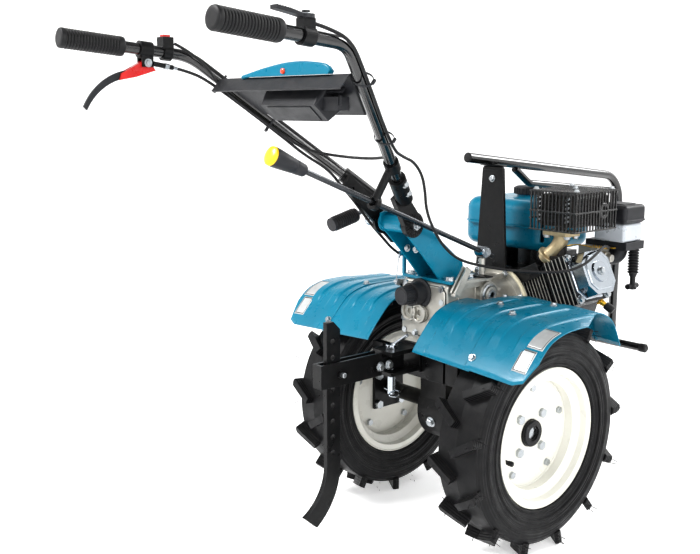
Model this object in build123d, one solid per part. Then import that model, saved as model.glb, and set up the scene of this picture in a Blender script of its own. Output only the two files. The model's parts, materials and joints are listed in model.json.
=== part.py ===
from build123d import *
import math
import os

# Walking tractor: a two-wheel motor cultivator that the user steers from behind.
# Millimetres. +X is the machine's right side, +Y its front (engine end), +Z up.
# Working coordinates start on the ground under the middle of the axle. Every part is
# moved along Y by FRAME_SHIFT when it is written, so the origin is under the middle
# of the machine's length.
FRAME_SHIFT = 69.68

# Wheels: 4.00-10 tyre on a two-piece 10 inch rim.
AXLE_Z = 232.0
TRACK_HALF = 207.5
CARCASS_R = 214.0
LUG_R = 232.0
TYRE_HALF = 55.0
LUG_COUNT = 13
RIM_FLANGE_R = 140.5
RIM_HALF = 45.0
RIM_BOLT_R = 92.0
HUB_BOLT_R = 48.0
AXLE_FLAT = 22.0
JOURNAL_R = 15.0
CASE_HALF = 38.0
SLEEVE_START = 60.0

# Steering column bolted on top of the gearbox.
BASE_BOLTS = ((-54, -72), (54, -72), (-54, -12), (54, -12))

# Handlebar: it turns about a cross bolt at the top of the column.
PIVOT_Y = -165.0
PIVOT_Z = 643.0
COLUMN_HALF = 30.0
BAR_R = 10.5
BAR_WALL = 2.0
BAR_LOW = (50.0, -200.0, 700.0)
BAR_BEND = (224.0, -489.0, 958.0)
BAR_END = (237.0, -735.0, 981.0)
BAR_BEND_R = 70.0
GRIP_R = 17.5
GRIP_LENGTH = 115.0

# Gear rod: slides in a swivel block on top of the selector post.
ROD_X = 62.0
ROD_R = 5.0
ROD_FRONT = (14.0, 575.0)
ROD_REAR = (-446.0, 759.5)

# Rear hitch and drag stake.
HITCH_Y = -180.0
STAKE_Y = -335.0
STAKE_TOP = 471.0
STAKE_WIDE = 33.0
STAKE_THICK = 10.0
STAKE_HOLE_R = 5.0
STAKE_HOLE_PITCH = 31.2
STAKE_HOLE_TOP = 434.0
STAKE_HOLES = 8

# Fenders, two bolted panels on each side.
FENDER_INNER = 64.0
FENDER_SEAM = 204.0
FENDER_OUTER = 342.0
FENDER_SHEET = 2.0
FENDER_TILT = 3.0

# Engine: single cylinder, leaning over to the right.
CRANK_Z = 437.0
ENGINE_REAR = 134.5
BORE_Y = 196.0
LEAN = 25.0
GUARD_R = 10.5

CABLE_R = 2.75


def block(x, y, z):
    """A box between two values on each axis."""
    size = Box(x[1] - x[0], y[1] - y[0], z[1] - z[0])
    return Pos((x[0] + x[1]) / 2, (y[0] + y[1]) / 2, (z[0] + z[1]) / 2) * size


def soft_block(x, y, z, radius):
    """A box with all its edges rounded."""
    body = block(x, y, z)
    return fillet(body.edges(), radius)


def rod(start, end, radius, bore=0.0):
    """A round bar between two points, or a tube when it has a bore."""
    run = Vector(*end) - Vector(*start)
    plane = Plane(origin=start, z_dir=run)
    face = Circle(radius)
    if bore > 0:
        face = face - Circle(bore)
    return extrude(plane * face, run.length)


def along_x(low, high, y, z, radius, bore=0.0):
    """A disc or tube whose axis is parallel to X."""
    return rod((low, y, z), (high, y, z), radius, bore)


def along_y(low, high, x, z, radius, bore=0.0):
    """A disc or tube whose axis is parallel to Y."""
    return rod((x, low, z), (x, high, z), radius, bore)


def along_z(low, high, x, y, radius, bore=0.0):
    """A disc or tube whose axis is parallel to Z."""
    return rod((x, y, low), (x, y, high), radius, bore)


def hex_bar(start, end, flat):
    """A hexagonal bar; flat is the distance across flats."""
    run = Vector(*end) - Vector(*start)
    plane = Plane(origin=start, z_dir=run)
    return extrude(plane * RegularPolygon(flat / math.sqrt(3), 6), run.length)


def pipe(points, bend, radius, bore=0.0):
    """A round tube along straight runs joined by arcs."""
    path = FilletPolyline(*points, radius=bend)
    face = Circle(radius)
    if bore > 0:
        face = face - Circle(bore)
    return sweep(Plane(origin=path @ 0, z_dir=path % 0) * face, path=path)


def side_plate(outline, low, high):
    """A plate cut to an outline in Y and Z, between two X values."""
    face = Plane.YZ.offset(low) * Polygon(*outline, align=None)
    return extrude(face, high - low, dir=(1, 0, 0))


def face_plate(outline, low, high):
    """A plate cut to an outline in X and Z, between two Y values."""
    face = Plane.XZ.offset(-low) * Polygon(*outline, align=None)
    return extrude(face, high - low, dir=(0, 1, 0))


def flat_plate(outline, low, high):
    """A plate cut to an outline in X and Y, between two Z values."""
    face = Plane.XY.offset(low) * Polygon(*outline, align=None)
    return extrude(face, high - low, dir=(0, 0, 1))


def strip(a, b, wide_a, wide_b):
    """The four corners of a tapered strip between two points of a plane."""
    length = math.dist(a, b)
    across = ((a[1] - b[1]) / length, (b[0] - a[0]) / length)
    corners = []
    for point, half in ((a, wide_a), (b, wide_b)):
        corners.append((point[0] + across[0] * half, point[1] + across[1] * half))
    for point, half in ((b, wide_b), (a, wide_a)):
        corners.append((point[0] - across[0] * half, point[1] - across[1] * half))
    return corners


def along(start, end, distance):
    """The point at a distance along a line."""
    share = distance / math.dist(start, end)
    return tuple(s + (e - s) * share for s, e in zip(start, end))


def left(shape):
    """The same shape on the machine's left side."""
    return mirror(shape, about=Plane.YZ)


def gather(shapes):
    """Separate solids kept together as one group."""
    solids = []
    for shape in shapes:
        solids.extend(shape.solids())
    return Compound(solids)


def write(name, shape):
    """Write one part, moved from the working origin to the frame's origin."""
    solids = [Pos(0, FRAME_SHIFT, 0) * solid for solid in shape.solids()]
    export_step(Compound(solids), "parts/" + name + ".step")


def lined(low, high, count):
    """Evenly spaced values from low to high, both included."""
    return [low + (high - low) * i / (count - 1) for i in range(count)]


# ---------------------------------------------------------------- wheels


def make_tyre():
    """U-shaped carcass with angled bar lugs in two staggered rows."""
    outer = [(33, 128.2), (41.8, 129.6), (41.8, 141), (48, 148), (53.5, 165)]
    outer += [(TYRE_HALF, 185), (52, 202), (46, 211)]
    inner = [(40, 203), (46, 185), (40, 160), (33, 148)]
    ring_points = outer + [(0, CARCASS_R)]
    ring_points += [(-x, r) for x, r in reversed(outer)]
    ring_points += [(-x, r) for x, r in reversed(inner)]
    ring_points += [(0, 206)] + inner
    carcass = revolve(Polygon(*ring_points, align=None), Axis.X)
    lugs = []
    step = 360.0 / LUG_COUNT
    for side in (1, -1):
        for i in range(LUG_COUNT):
            bar = Pos(side * 28, 0, 218) * Rot(0, 0, side * 32) * Box(62, 15, 30)
            turn = step * (i + (0.5 if side < 0 else 0.0))
            lugs.append(Rot(turn, 0, 0) * bar)
    band = along_x(-TYRE_HALF + 1, TYRE_HALF - 1, 0, 0, LUG_R, 206.5)
    for lug in lugs:
        carcass += lug & band
    return carcass


def make_rim():
    """Two pressed halves as one welded rim, with a flat disc in the middle."""
    seat = [(42.5, RIM_FLANGE_R), (42.5, 129), (30, 127), (22, 112)]
    skin = [(23.5, 109.5), (31.5, 124.5), (RIM_HALF, 126.5), (RIM_HALF, RIM_FLANGE_R)]
    outline = seat + [(-x, r) for x, r in reversed(seat)]
    outline += [(-x, r) for x, r in reversed(skin)] + skin
    band = revolve(Polygon(*outline, align=None), Axis.X)
    disc = along_x(-2.5, 2.5, 0, 0, 111, 28)
    rim = band + disc
    for i in range(5):
        angle = math.radians(72 * i + 90)
        rim -= along_x(-5, 5, RIM_BOLT_R * math.cos(angle), RIM_BOLT_R * math.sin(angle), 4.1)
    for i in range(4):
        angle = math.radians(90 * i + 45)
        rim -= along_x(-5, 5, HUB_BOLT_R * math.cos(angle), HUB_BOLT_R * math.sin(angle), 5.1)
    return rim


def make_hub():
    """Hub for the right wheel: hex-bored sleeve, square plate and round nose."""
    inside = TRACK_HALF - 2.5
    hub = along_x(SLEEVE_START, inside, 0, 0, 17)
    hub += block((inside - 8, inside), (-44, 44), (-44, 44))
    hub += along_x(inside - 1, TRACK_HALF + 9, 0, 0, 27)
    hub -= hex_bar((SLEEVE_START - 1, 0, 0), (TRACK_HALF + 20, 0, 0), AXLE_FLAT + 0.1)
    hub -= rod((78, 0, -30), (78, 0, 30), 3.05)
    for i in range(4):
        angle = math.radians(90 * i + 45)
        y = HUB_BOLT_R * math.cos(angle)
        z = HUB_BOLT_R * math.sin(angle)
        hub -= along_x(inside - 12, inside + 1, y, z, 5.1)
    return hub


def make_wheel_bolts(centre):
    """Bolts of one wheel, centred on its middle plane; heads face outwards."""
    out = []
    for i in range(5):
        angle = math.radians(72 * i + 90)
        y = RIM_BOLT_R * math.cos(angle)
        z = RIM_BOLT_R * math.sin(angle)
        bolt = along_x(centre - 2.5, centre + 2.5, y, z, 4.0)
        bolt += hex_bar((centre + 2.5, y, z), (centre + 8.0, y, z), 13)
        bolt += hex_bar((centre - 8.5, y, z), (centre - 2.5, y, z), 13)
        out.append(bolt)
    for i in range(4):
        angle = math.radians(90 * i + 45)
        y = HUB_BOLT_R * math.cos(angle)
        z = HUB_BOLT_R * math.sin(angle)
        bolt = along_x(centre - 10.5, centre + 2.5, y, z, 5.0)
        bolt += hex_bar((centre + 2.5, y, z), (centre + 9.0, y, z), 17)
        bolt += hex_bar((centre - 18.5, y, z), (centre - 10.5, y, z), 17)
        out.append(bolt)
    return out


def make_wheels():
    """Axle, hubs, rims, tyres and bolts: everything that turns."""
    up = Pos(0, 0, AXLE_Z)
    tyre = make_tyre()
    rim = make_rim()
    hub = make_hub()
    pin_hole = rod((78, 0, -30), (78, 0, 30), 3.05)
    shaft = hex_bar((-213, 0, 0), (213, 0, 0), AXLE_FLAT) + along_x(-44, 44, 0, 0, JOURNAL_R)
    shaft -= pin_hole
    shaft -= left(pin_hole)
    write("axle_shaft", up * shaft)
    write("tyre_right", up * Pos(TRACK_HALF, 0, 0) * tyre)
    write("tyre_left", left(up * Pos(TRACK_HALF, 0, 0) * tyre))
    write("rim_right", up * Pos(TRACK_HALF, 0, 0) * rim)
    write("rim_left", left(up * Pos(TRACK_HALF, 0, 0) * rim))
    write("wheel_hubs", up * gather([hub, left(hub)]))
    bolts = make_wheel_bolts(TRACK_HALF)
    write("wheel_bolts", up * gather(bolts + [left(bolt) for bolt in bolts]))


# ---------------------------------------------------------------- running gear


def make_cases():
    """Final drive, gearbox, bell housing and what is bolted to their rear."""
    case = along_x(-CASE_HALF, CASE_HALF, 0, AXLE_Z, 67.0)
    case += block((-36, 36), (-60, 50), (AXLE_Z, 399))
    case -= along_x(-60, 60, 0, AXLE_Z, JOURNAL_R + 0.05)
    cover = along_x(CASE_HALF - 0.1, CASE_HALF + 5, 0, AXLE_Z, 40.0, JOURNAL_R + 0.05)
    write("final_drive_case", case + cover + left(cover))

    box = soft_block((-62, 62), (-90, 50), (399, 518), 8)
    box += along_x(60, 79, 18, 489, 26)
    box += along_x(78, 86, 18, 489, 16)
    box += block((-70, 70), (-60, 20), (506, 518))
    oval = extrude(Plane.XZ.offset(89) * Pos(-20, 452) * SlotOverall(74, 34), 9)
    for x in (-34, -6):
        oval -= along_y(-110, -80, x, 452, 6)
    write("gearbox_casing", box + oval)
    bell = rod((0, 50, CRANK_Z), (0, 124, CRANK_Z), 74)
    bell += rod((0, 124, CRANK_Z), (0, 134, CRANK_Z), 88)
    write("bell_housing", bell)
    cap = rod((-6, -90.2, 494), (-6, -124, 494), 24) + rod((-6, -124, 494), (-6, -150, 494), 18)
    write("power_takeoff_cap", cap)
    bolts = []
    for x, z in ((-50, 508), (50, 508), (52, 482), (-50, 482), (52, 446), (52, 410), (-52, 410)):
        bolts.append(hex_bar((x, -90, z), (x, -95.5, z), 12))
    for x, y in BASE_BOLTS:
        bolts.append(hex_bar((x, y, 525), (x, y, 532), 15))
    for x in (-105, 105):
        for z in (337, 366):
            bolt = along_y(-112, -104, x, z, 5) + hex_bar((x, -118.5, z), (x, -112, z), 16)
            bolts.append(bolt + hex_bar((x, -104, z), (x, -96, z), 16))
    write("chassis_bolts", gather(bolts))
    arm = side_plate(strip((-80, 503), (-106, 510), 9, 6), -68.5, -63.5)
    arm += along_x(-68.5, -62.3, -80, 503, 9)
    arm -= along_x(-80, -60, -106, 510, 1.6)
    write("clutch_arm", arm)


def make_selector():
    """Selector post, its bracket and cover plate on the right of the gearbox."""
    post = along_z(518.2, 562, ROD_X, ROD_FRONT[0], 6)
    post += block((ROD_X - 12, ROD_X + 16), (ROD_FRONT[0] - 10, ROD_FRONT[0] + 10), (518.2, 526))
    post += block((71, 85), (-60, 10), (520, 526))
    for x in (71, 81):
        post += side_plate(strip((-83, 500), (-50, 551), 9, 7), x, x + 4)
    post += along_x(73, 83, -83, 500, 5)
    write("selector_bracket", post)


def make_rear_hitch():
    """Cross beam on the casing, the fixed clevis and the draw bar that swings in it."""
    beam = block((-90, 90), (-120, -112), (326, 377))
    beam += block((-36, 36), (-112, -60.5), (330, 373))
    for side in (1, -1):
        ends = (84, 122) if side > 0 else (-122, -84)
        beam += block(ends, (-112, -104), (326, 377))
        for z in (337, 366):
            beam -= along_y(-130, -90, side * 105, z, 5.2)
    write("rear_beam", beam)

    clevis = block((-27, 27), (-207, -120.2), (385, 393))
    clevis += block((-27, 27), (-207, -120.2), (344, 352))
    clevis += block((-27, 27), (-128, -120.2), (340, 397))
    clevis -= along_z(330, 400, 0, HITCH_Y, 8.4)
    write("hitch_clevis", clevis)

    bar = block((-12.5, 12.5), (-240, -158), (355, 382))
    for x in ((-12.5, -7.5), (7.5, 12.5)):
        bar += block(x, (-366, -218), (347, 393))
    bar += block((-12.5, 12.5), (-371, -365), (347, 393))
    bar -= along_z(330, 400, 0, HITCH_Y, 8.4)
    for y in (-228, -205):
        bar += hex_bar((-18.5, y, 368), (18.5, y, 368), 13)
    for side in (1, -1):
        bar += rod((side * 5.4, -325, 370), (side * 12.5, -325, 370), 4.5)
        bar += hex_bar((side * 12.5, -325, 370), (side * 19, -325, 370), 14)
    write("draw_bar", bar)
    pin = along_z(300, 393.3, 0, HITCH_Y, 8) + along_z(393.3, 402, 0, HITCH_Y, 12)
    pin += rod((0, HITCH_Y, 398), (44, HITCH_Y, 428), 3.5)
    write("hitch_pin", pin)


def make_stake():
    """Flat bar with a row of holes and a foot that curves back into the ground."""
    half = STAKE_WIDE / 2
    front = STAKE_Y + half
    back = STAKE_Y - half
    with BuildSketch(Plane.YZ) as side:
        with BuildLine():
            Polyline(
                (back, 190),
                (back, STAKE_TOP),
                (front - 16, STAKE_TOP),
                (front, STAKE_TOP - 16),
                (front, 190),
            )
            ThreePointArc((front, 190), (front - 12, 131), (-377, 74))
            Line((-377, 74), (-406, 100))
            ThreePointArc((-406, 100), (back - 12, 143), (back, 190))
        make_face()
    stake = extrude(side.sketch, STAKE_THICK / 2, both=True)
    for i in range(STAKE_HOLES):
        z = STAKE_HOLE_TOP - i * STAKE_HOLE_PITCH
        stake -= along_x(-20, 20, STAKE_Y - 2, z, STAKE_HOLE_R)
    write("drag_stake", stake)


def make_column():
    """Base plate and the steering column that carries the handlebar pivot."""
    plate = block((-68, 68), (-86, 0), (519, 525))
    stay = block((-69, -63), (-86, -80), (525, 574)) + along_y(-97, -80, -66, 568, 5.5)
    stay -= along_y(-100, -70, -66, 568, 2.9)
    outline = [(-4, 525), (-78, 525), (-128, 580), (-166, 618), (-190, 640)]
    outline += [(-186, 662), (-168, 668), (-140, 655), (-52, 585), (-10, 552)]
    hollow = [(-12, 524), (-90, 524), (-150, 560), (-200, 600), (-230, 700), (-178, 664)]
    hollow += [(-168, 663), (-142, 650), (-56, 580), (-16, 548)]
    shell = side_plate(outline, -COLUMN_HALF, COLUMN_HALF)
    shell -= side_plate(hollow, -COLUMN_HALF + 4, COLUMN_HALF - 4)
    shell += along_x(-38, 32, PIVOT_Y, PIVOT_Z, 18)
    shell -= along_x(-50, 50, PIVOT_Y, PIVOT_Z, 6.05)
    write("steering_column", shell + plate + stay)


# ---------------------------------------------------------------- handlebar


def make_handlebar():
    """Bracket, tubes, grips and everything fixed to them."""
    pivot = (PIVOT_Y, PIVOT_Z)
    low = BAR_LOW
    start = along(low, BAR_BEND, -8)
    end = along(low, BAR_BEND, 62)
    ear = along_x(33, 45, PIVOT_Y, PIVOT_Z, 25)
    ear += side_plate(strip(pivot, (-206, 704), 22, 15), 33, 45)
    socket_bore = rod(start, along(low, BAR_BEND, 90), BAR_R + 0.05)
    right = ear + rod(start, end, 16.5)
    right -= socket_bore
    right -= along_x(30, 50, PIVOT_Y, PIVOT_Z, 6.02)
    write("handle_bracket_right", right)

    plate = side_plate(strip((-128, 610), (-262, 728), 17, 15), -48, -41)
    plate += along_x(-48, -41, PIVOT_Y, PIVOT_Z, 25)
    other = plate + left(rod(start, end, 15))
    other -= left(socket_bore)
    other -= along_x(-60, -30, PIVOT_Y, PIVOT_Z, 6.02)
    for y, z in ((-246, 711), (-228, 694)):
        other -= along_x(-60, -30, y, z, 4)
    write("handle_bracket_left", other)

    bolt = along_x(-60, 45, PIVOT_Y, PIVOT_Z, 6.0) + along_x(-86, -60, PIVOT_Y, PIVOT_Z, 6.0)
    bolt += hex_bar((45, PIVOT_Y, PIVOT_Z), (52.5, PIVOT_Y, PIVOT_Z), 18)
    write("pivot_bolt", bolt)

    tube_end = along(BAR_END, BAR_BEND, 5)
    tube = pipe([along(low, BAR_BEND, -7), BAR_BEND, tube_end], BAR_BEND_R, BAR_R, BAR_R - BAR_WALL)
    write("handlebar_tube_right", tube)
    write("handlebar_tube_left", left(tube))
    grip = rod(BAR_END, along(BAR_END, BAR_BEND, GRIP_LENGTH), GRIP_R)
    grip -= rod(along(BAR_END, BAR_BEND, 4.9), along(BAR_END, BAR_BEND, GRIP_LENGTH + 5), BAR_R + 0.05)
    write("grips", gather([grip, left(grip)]))


def bar_point(distance):
    """A point on the right tube's straight run, measured up from its socket."""
    return along(BAR_LOW, BAR_BEND, distance)


def make_rod_guide():
    """Arm from the right tube to the ring that carries the gear rod."""
    clamp_low = bar_point(92)
    clamp_high = bar_point(116)
    middle = bar_point(104)
    ring_y = -285.0
    ring_z = ROD_FRONT[1] + (ROD_FRONT[0] - ring_y) * rod_slope()
    face = Vector(0, -1, rod_slope()).normalized()
    back = tuple(Vector(ROD_X, ring_y, ring_z) - face * 5)
    ahead = tuple(Vector(ROD_X, ring_y, ring_z) + face * 5)
    arm = rod(middle, (ROD_X + 3, ring_y, ring_z + 6), 7.5)
    guide = rod(clamp_low, clamp_high, 14) + arm + rod(back, ahead, 14)
    far_back = tuple(Vector(ROD_X, ring_y, ring_z) - face * 60)
    far_ahead = tuple(Vector(ROD_X, ring_y, ring_z) + face * 60)
    guide -= rod(far_back, far_ahead, ROD_R + 3.6)
    guide -= rod(bar_point(60), bar_point(150), BAR_R + 0.05)
    write("gear_rod_guide", guide)


def rod_slope():
    """Rise of the gear rod per millimetre towards the rear."""
    return (ROD_REAR[1] - ROD_FRONT[1]) / (ROD_FRONT[0] - ROD_REAR[0])


def make_console():
    """Panel between the tubes, its coloured trim and the box below it."""
    slope = math.degrees(math.atan2(BAR_BEND[2] - BAR_LOW[2], BAR_LOW[1] - BAR_BEND[1]))
    centre = Pos(0, -412, 880) * Rot(-slope, 0, 0)
    plan = Polygon((-142, 42), (142, 42), (184, -52), (-184, -52), align=None)
    sheet = centre * extrude(plan, 3, dir=(0, 0, 1))
    strip = Polygon((-184, -52), (184, -52), (181, -49), (-181, -49), align=None)
    rim = centre * extrude(strip, 27, dir=(0, 0, -1))
    write("console_panel", sheet + rim)
    arch = [(-108, 917.5), (-72, 924), (-36, 930), (20, 936.5), (67, 937.5), (110, 934)]
    arch += [(131, 930), (140, 922), (136, 917.5)]
    write("console_trim", face_plate(arch, -455, -444))
    box = centre * Pos(30, -6, -0.1) * extrude(RectangleRounded(168, 60, 12), -38, taper=14)
    box += block((96, 146), (-442, -418), (860, 882))
    write("storage_box", box)


def make_hand_controls():
    """Clutch lever, stop switch and throttle lever with their clamps."""
    run = Vector(*BAR_END) - Vector(*BAR_BEND)
    run = run.normalized()

    def on_bar(y, drop=0.0):
        share = (y - BAR_BEND[1]) / (BAR_END[1] - BAR_BEND[1])
        x = BAR_BEND[0] + share * (BAR_END[0] - BAR_BEND[0])
        z = BAR_BEND[2] + share * (BAR_END[2] - BAR_BEND[2])
        return (x, y, z - drop)

    bore = rod(on_bar(-540), on_bar(-640), BAR_R + 0.05)
    clamp = rod(on_bar(-566), on_bar(-590), 15)
    x0 = on_bar(-580)[0]
    clamp += block((x0 - 10, x0 + 10), (-588, -566), (936, 958))
    clamp -= bore
    clamp -= block((x0 - 6.3, x0 + 6.3), (-600, -550), (925, 951.5))
    clamp += along_x(x0 - 10, x0 + 10, -577, 943, 3.0)
    clamp += rod((x0 - 11, -568, 942), (x0 - 11, -528, 936), 4.5)
    write("clutch_lever_clamp", left(clamp))
    lever = along_x(x0 - 6, x0 + 6, -577, 943, 7)
    thumb = [(-560, 930), (-572, 948), (-582, 948), (-628, 924), (-632, 912), (-600, 918)]
    lever += side_plate(thumb, x0 - 6, x0 + 6)
    lever -= block((x0 - 2.6, x0 + 2.6), (-640, -606), (900, 940))
    lever -= along_x(x0 - 20, x0 + 20, -577, 943, 3.1)
    write("clutch_lever_body", left(lever))
    with BuildSketch(Plane.YZ) as side:
        with BuildLine():
            ThreePointArc((-608, 917), (-662, 897), (-694, 860))
            Line((-694, 860), (-700, 866))
            ThreePointArc((-700, 866), (-668, 906), (-608, 931))
            Line((-608, 931), (-608, 917))
        make_face()
    blade = Pos(x0 - 2.4, 0, 0) * extrude(side.sketch, 4.8)
    write("clutch_lever_blade", left(blade))

    switch = rod(on_bar(-528), on_bar(-544), 14.5)
    switch += block((x0 - 14, x0 + 8), (-548, -526), (968, 990))
    switch -= rod(on_bar(-500), on_bar(-570), BAR_R + 0.05)
    switch -= block((x0 - 9, x0 + 4), (-545, -529), (986, 995))
    write("stop_switch_box", left(switch))
    rocker = along_x(x0 - 8.5, x0 + 3.5, -537, 990, 3.5)
    rocker += block((x0 - 8.5, x0 + 3.5), (-544, -530), (990, 994))
    rocker -= block((x0 - 9, x0 + 4), (-541, -533), (982, 986.5))
    write("stop_switch_rocker", left(rocker))

    base = rod(on_bar(-560), on_bar(-582), 14.5)
    base += block((x0 - 9, x0 + 9), (-582, -560), (974, 990))
    base -= rod(on_bar(-540), on_bar(-600), BAR_R + 0.05)
    base += along_z(989, 996.4, x0, -571, 3.0) + along_z(996.4, 1001, x0, -571, 6)
    write("throttle_clamp", base)
    lever = along_z(990.3, 996, x0, -571, 13)
    thumb = [(-579, 991), (-600, 995), (-628, 999.5), (-628, 1005), (-600, 1001), (-579, 995.8)]
    lever += side_plate(thumb, x0 - 8, x0 + 8)
    lever -= along_z(980, 1000, x0, -571, 3.1)
    write("throttle_lever", lever)


def make_gear_rod():
    """Sliding rod with its knob, and the swivel block that it passes through."""
    y0, z0 = ROD_FRONT
    y1, z1 = ROD_REAR
    front = along((ROD_X, y0, z0), (ROD_X, y1, z1), -34)
    write("gear_rod", rod(front, (ROD_X, y1, z1), ROD_R))
    tail = along((ROD_X, y0, z0), (ROD_X, y1, z1), math.dist(ROD_FRONT, ROD_REAR) + 78)
    base = (ROD_X, y1, z1)
    plane = Plane(origin=base, z_dir=Vector(*tail) - Vector(*base))
    knob = loft([plane * Circle(11), plane.offset(66) * Circle(17)])
    knob += extrude(plane.offset(66) * Circle(17), 12)
    write("gear_knob", knob)
    behind = along((ROD_X, y0, z0), (ROD_X, y1, z1), -11)
    ahead = along((ROD_X, y0, z0), (ROD_X, y1, z1), 11)
    swivel = along_x(ROD_X - 11, ROD_X + 11, y0, z0, 11.5)
    swivel -= rod(along(behind, ahead, -20), along(ahead, behind, -20), ROD_R + 0.06)
    write("rod_swivel", swivel)


def make_clamp_lever():
    """Lever that locks the handlebar height, on the end of the pivot bolt."""
    barrel = along_x(-86, -54, PIVOT_Y, PIVOT_Z, 11)
    barrel -= along_x(-90, -50, PIVOT_Y, PIVOT_Z, 6.05)
    barrel += pipe([(-78, -163, 632), (-78, -172, 664), (-78, -210, 655)], 8, 4)
    barrel -= along_x(-90, -50, PIVOT_Y, PIVOT_Z, 6.05)
    barrel += rod((-78, -208, 655.5), (-78, -270, 640), 13.5)
    write("height_lock_lever", barrel)


def route(name, points):
    """A cable along straight runs joined by the largest arcs that fit."""
    spots = [Vector(*point) for point in points]
    radii = []
    for before, here, after in zip(spots, spots[1:], spots[2:]):
        turn = (here - before).get_angle(after - here)
        shorter = min((here - before).length, (after - here).length)
        radii.append(0.45 * shorter / math.tan(math.radians(turn / 2)))
    print(name, "bend radii", [round(radius) for radius in radii])
    path = FilletPolyline(*points, radius=radii)
    print(name, "length", round(path.length))
    return sweep(Plane(origin=path @ 0, z_dir=path % 0) * Circle(CABLE_R), path=path)


def under_bar(distance, side=1):
    """A point just below a handlebar tube, level with bar_point(distance)."""
    x, y, z = bar_point(distance)
    return (side * x, y - 9.9, z - 11.1)


def beside_bar(distance, gap, side=1):
    """A point beside a tube; a positive gap is towards the middle of the machine."""
    x, y, z = bar_point(distance)
    return (side * (x - 0.912 * gap), y - 0.305 * gap, z + 0.272 * gap)


def beside_cable(distance):
    """A point below the left tube, next to the clutch cable on its inner side."""
    x, y, z = under_bar(distance, -1)
    return (x + 5.7, y - 1.9, z + 1.7)


def make_cables():
    """Clutch cable, stop wire and throttle cable, each from end to end."""
    x0 = 229.0
    clutch = [(-x0 + 11, -527, 935.8), (-x0 + 12, -500, 931), under_bar(370, -1)]
    clutch += [under_bar(196, -1), (-107, -315, 777), (-82, -274, 748), (-67, -254, 716)]
    clutch += [(-62, -220, 680), (-58, -188, 640), (-60, -148, 604), (-64, -120, 580)]
    clutch += [(-66, -98, 568)]
    wire = [(-218, -523.6, 979), (-206, -500, 966), (-190, -468, 934)]
    wire += [beside_cable(350), beside_cable(206)]
    wire += [(-104, -318, 788), (-82, -282, 777), (-46, -258, 772)]
    wire += [(-4, -252, 771), (40, -260, 773), (80, -278, 777)]
    throttle = [(x0, -558.5, 984), (x0 + 4, -532, 978), (x0 + 14, -498, 962)]
    throttle += [beside_bar(378, -14.6), beside_bar(160, -14.6), (114, -262, 778)]
    throttle += [(99, -222, 768), (93, -194, 742), (91, -184, 710), (90, -180, 680)]
    throttle += [(88, -164, 648), (86, -130, 604), (90, -88, 572), (118, -48, 559)]
    throttle += [(158, -10, 551), (196, 40, 547), (218, 92, 546), (226, 136, 556)]
    throttle += [(222, 182, 574), (206, 228, 582), (188, 266, 576), (173, 298.5, 568)]
    cables = [route("clutch cable", clutch), route("stop wire", wire)]
    cables.append(route("throttle cable", throttle))
    write("control_cables", gather(cables))


# ---------------------------------------------------------------- fenders


def make_fenders():
    """Two pressed panels a side, lapped and bolted at the seam, on flat brackets."""
    crown = [(-186, 402), (-160, 433), (-126, 466), (-92, 480), (-55, 485), (80, 482)]
    crown += [(130, 474), (178, 446), (214, 392)]
    under = []
    for y, z in crown:
        reach = math.hypot(y, z - AXLE_Z)
        under.append((y * (1 - FENDER_SHEET / reach), z - (z - AXLE_Z) * FENDER_SHEET / reach))
    turn = Pos(FENDER_INNER, 0, 480) * Rot(0, FENDER_TILT, 0) * Pos(-FENDER_INNER, 0, -480)
    inner = turn * side_plate(crown + under[::-1], FENDER_INNER, FENDER_SEAM)
    inner &= flat_plate(
        [(40, -250), (FENDER_SEAM, -250), (FENDER_SEAM, 112), (112, 112), (94, 60), (94, -20), (64, -30), (40, -30)],
        300,
        560,
    )
    inner += block((62.2, 148), (-34, 0), (448, 452)) + block((130, 148), (-34, 0), (448, 479.2))
    inner += block((62.2, 66), (-34, 0), (430, 452))
    outer = turn * side_plate(crown + under[::-1], FENDER_SEAM - 10, FENDER_OUTER + 8)
    plan = [(FENDER_SEAM, -250), (FENDER_OUTER - 32, -250), (FENDER_OUTER - 32, -192)]
    plan += [(FENDER_OUTER - 12, -180), (FENDER_OUTER, -152), (FENDER_OUTER, -12)]
    plan += [(282, 100), (262, 250), (FENDER_SEAM, 250)]
    outer &= flat_plate(plan, 300, 560)
    write("fender_right_inner", inner)
    write("fender_right_outer", outer)
    write("fender_left_inner", left(inner))
    write("fender_left_outer", left(outer))


# ---------------------------------------------------------------- engine


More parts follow.
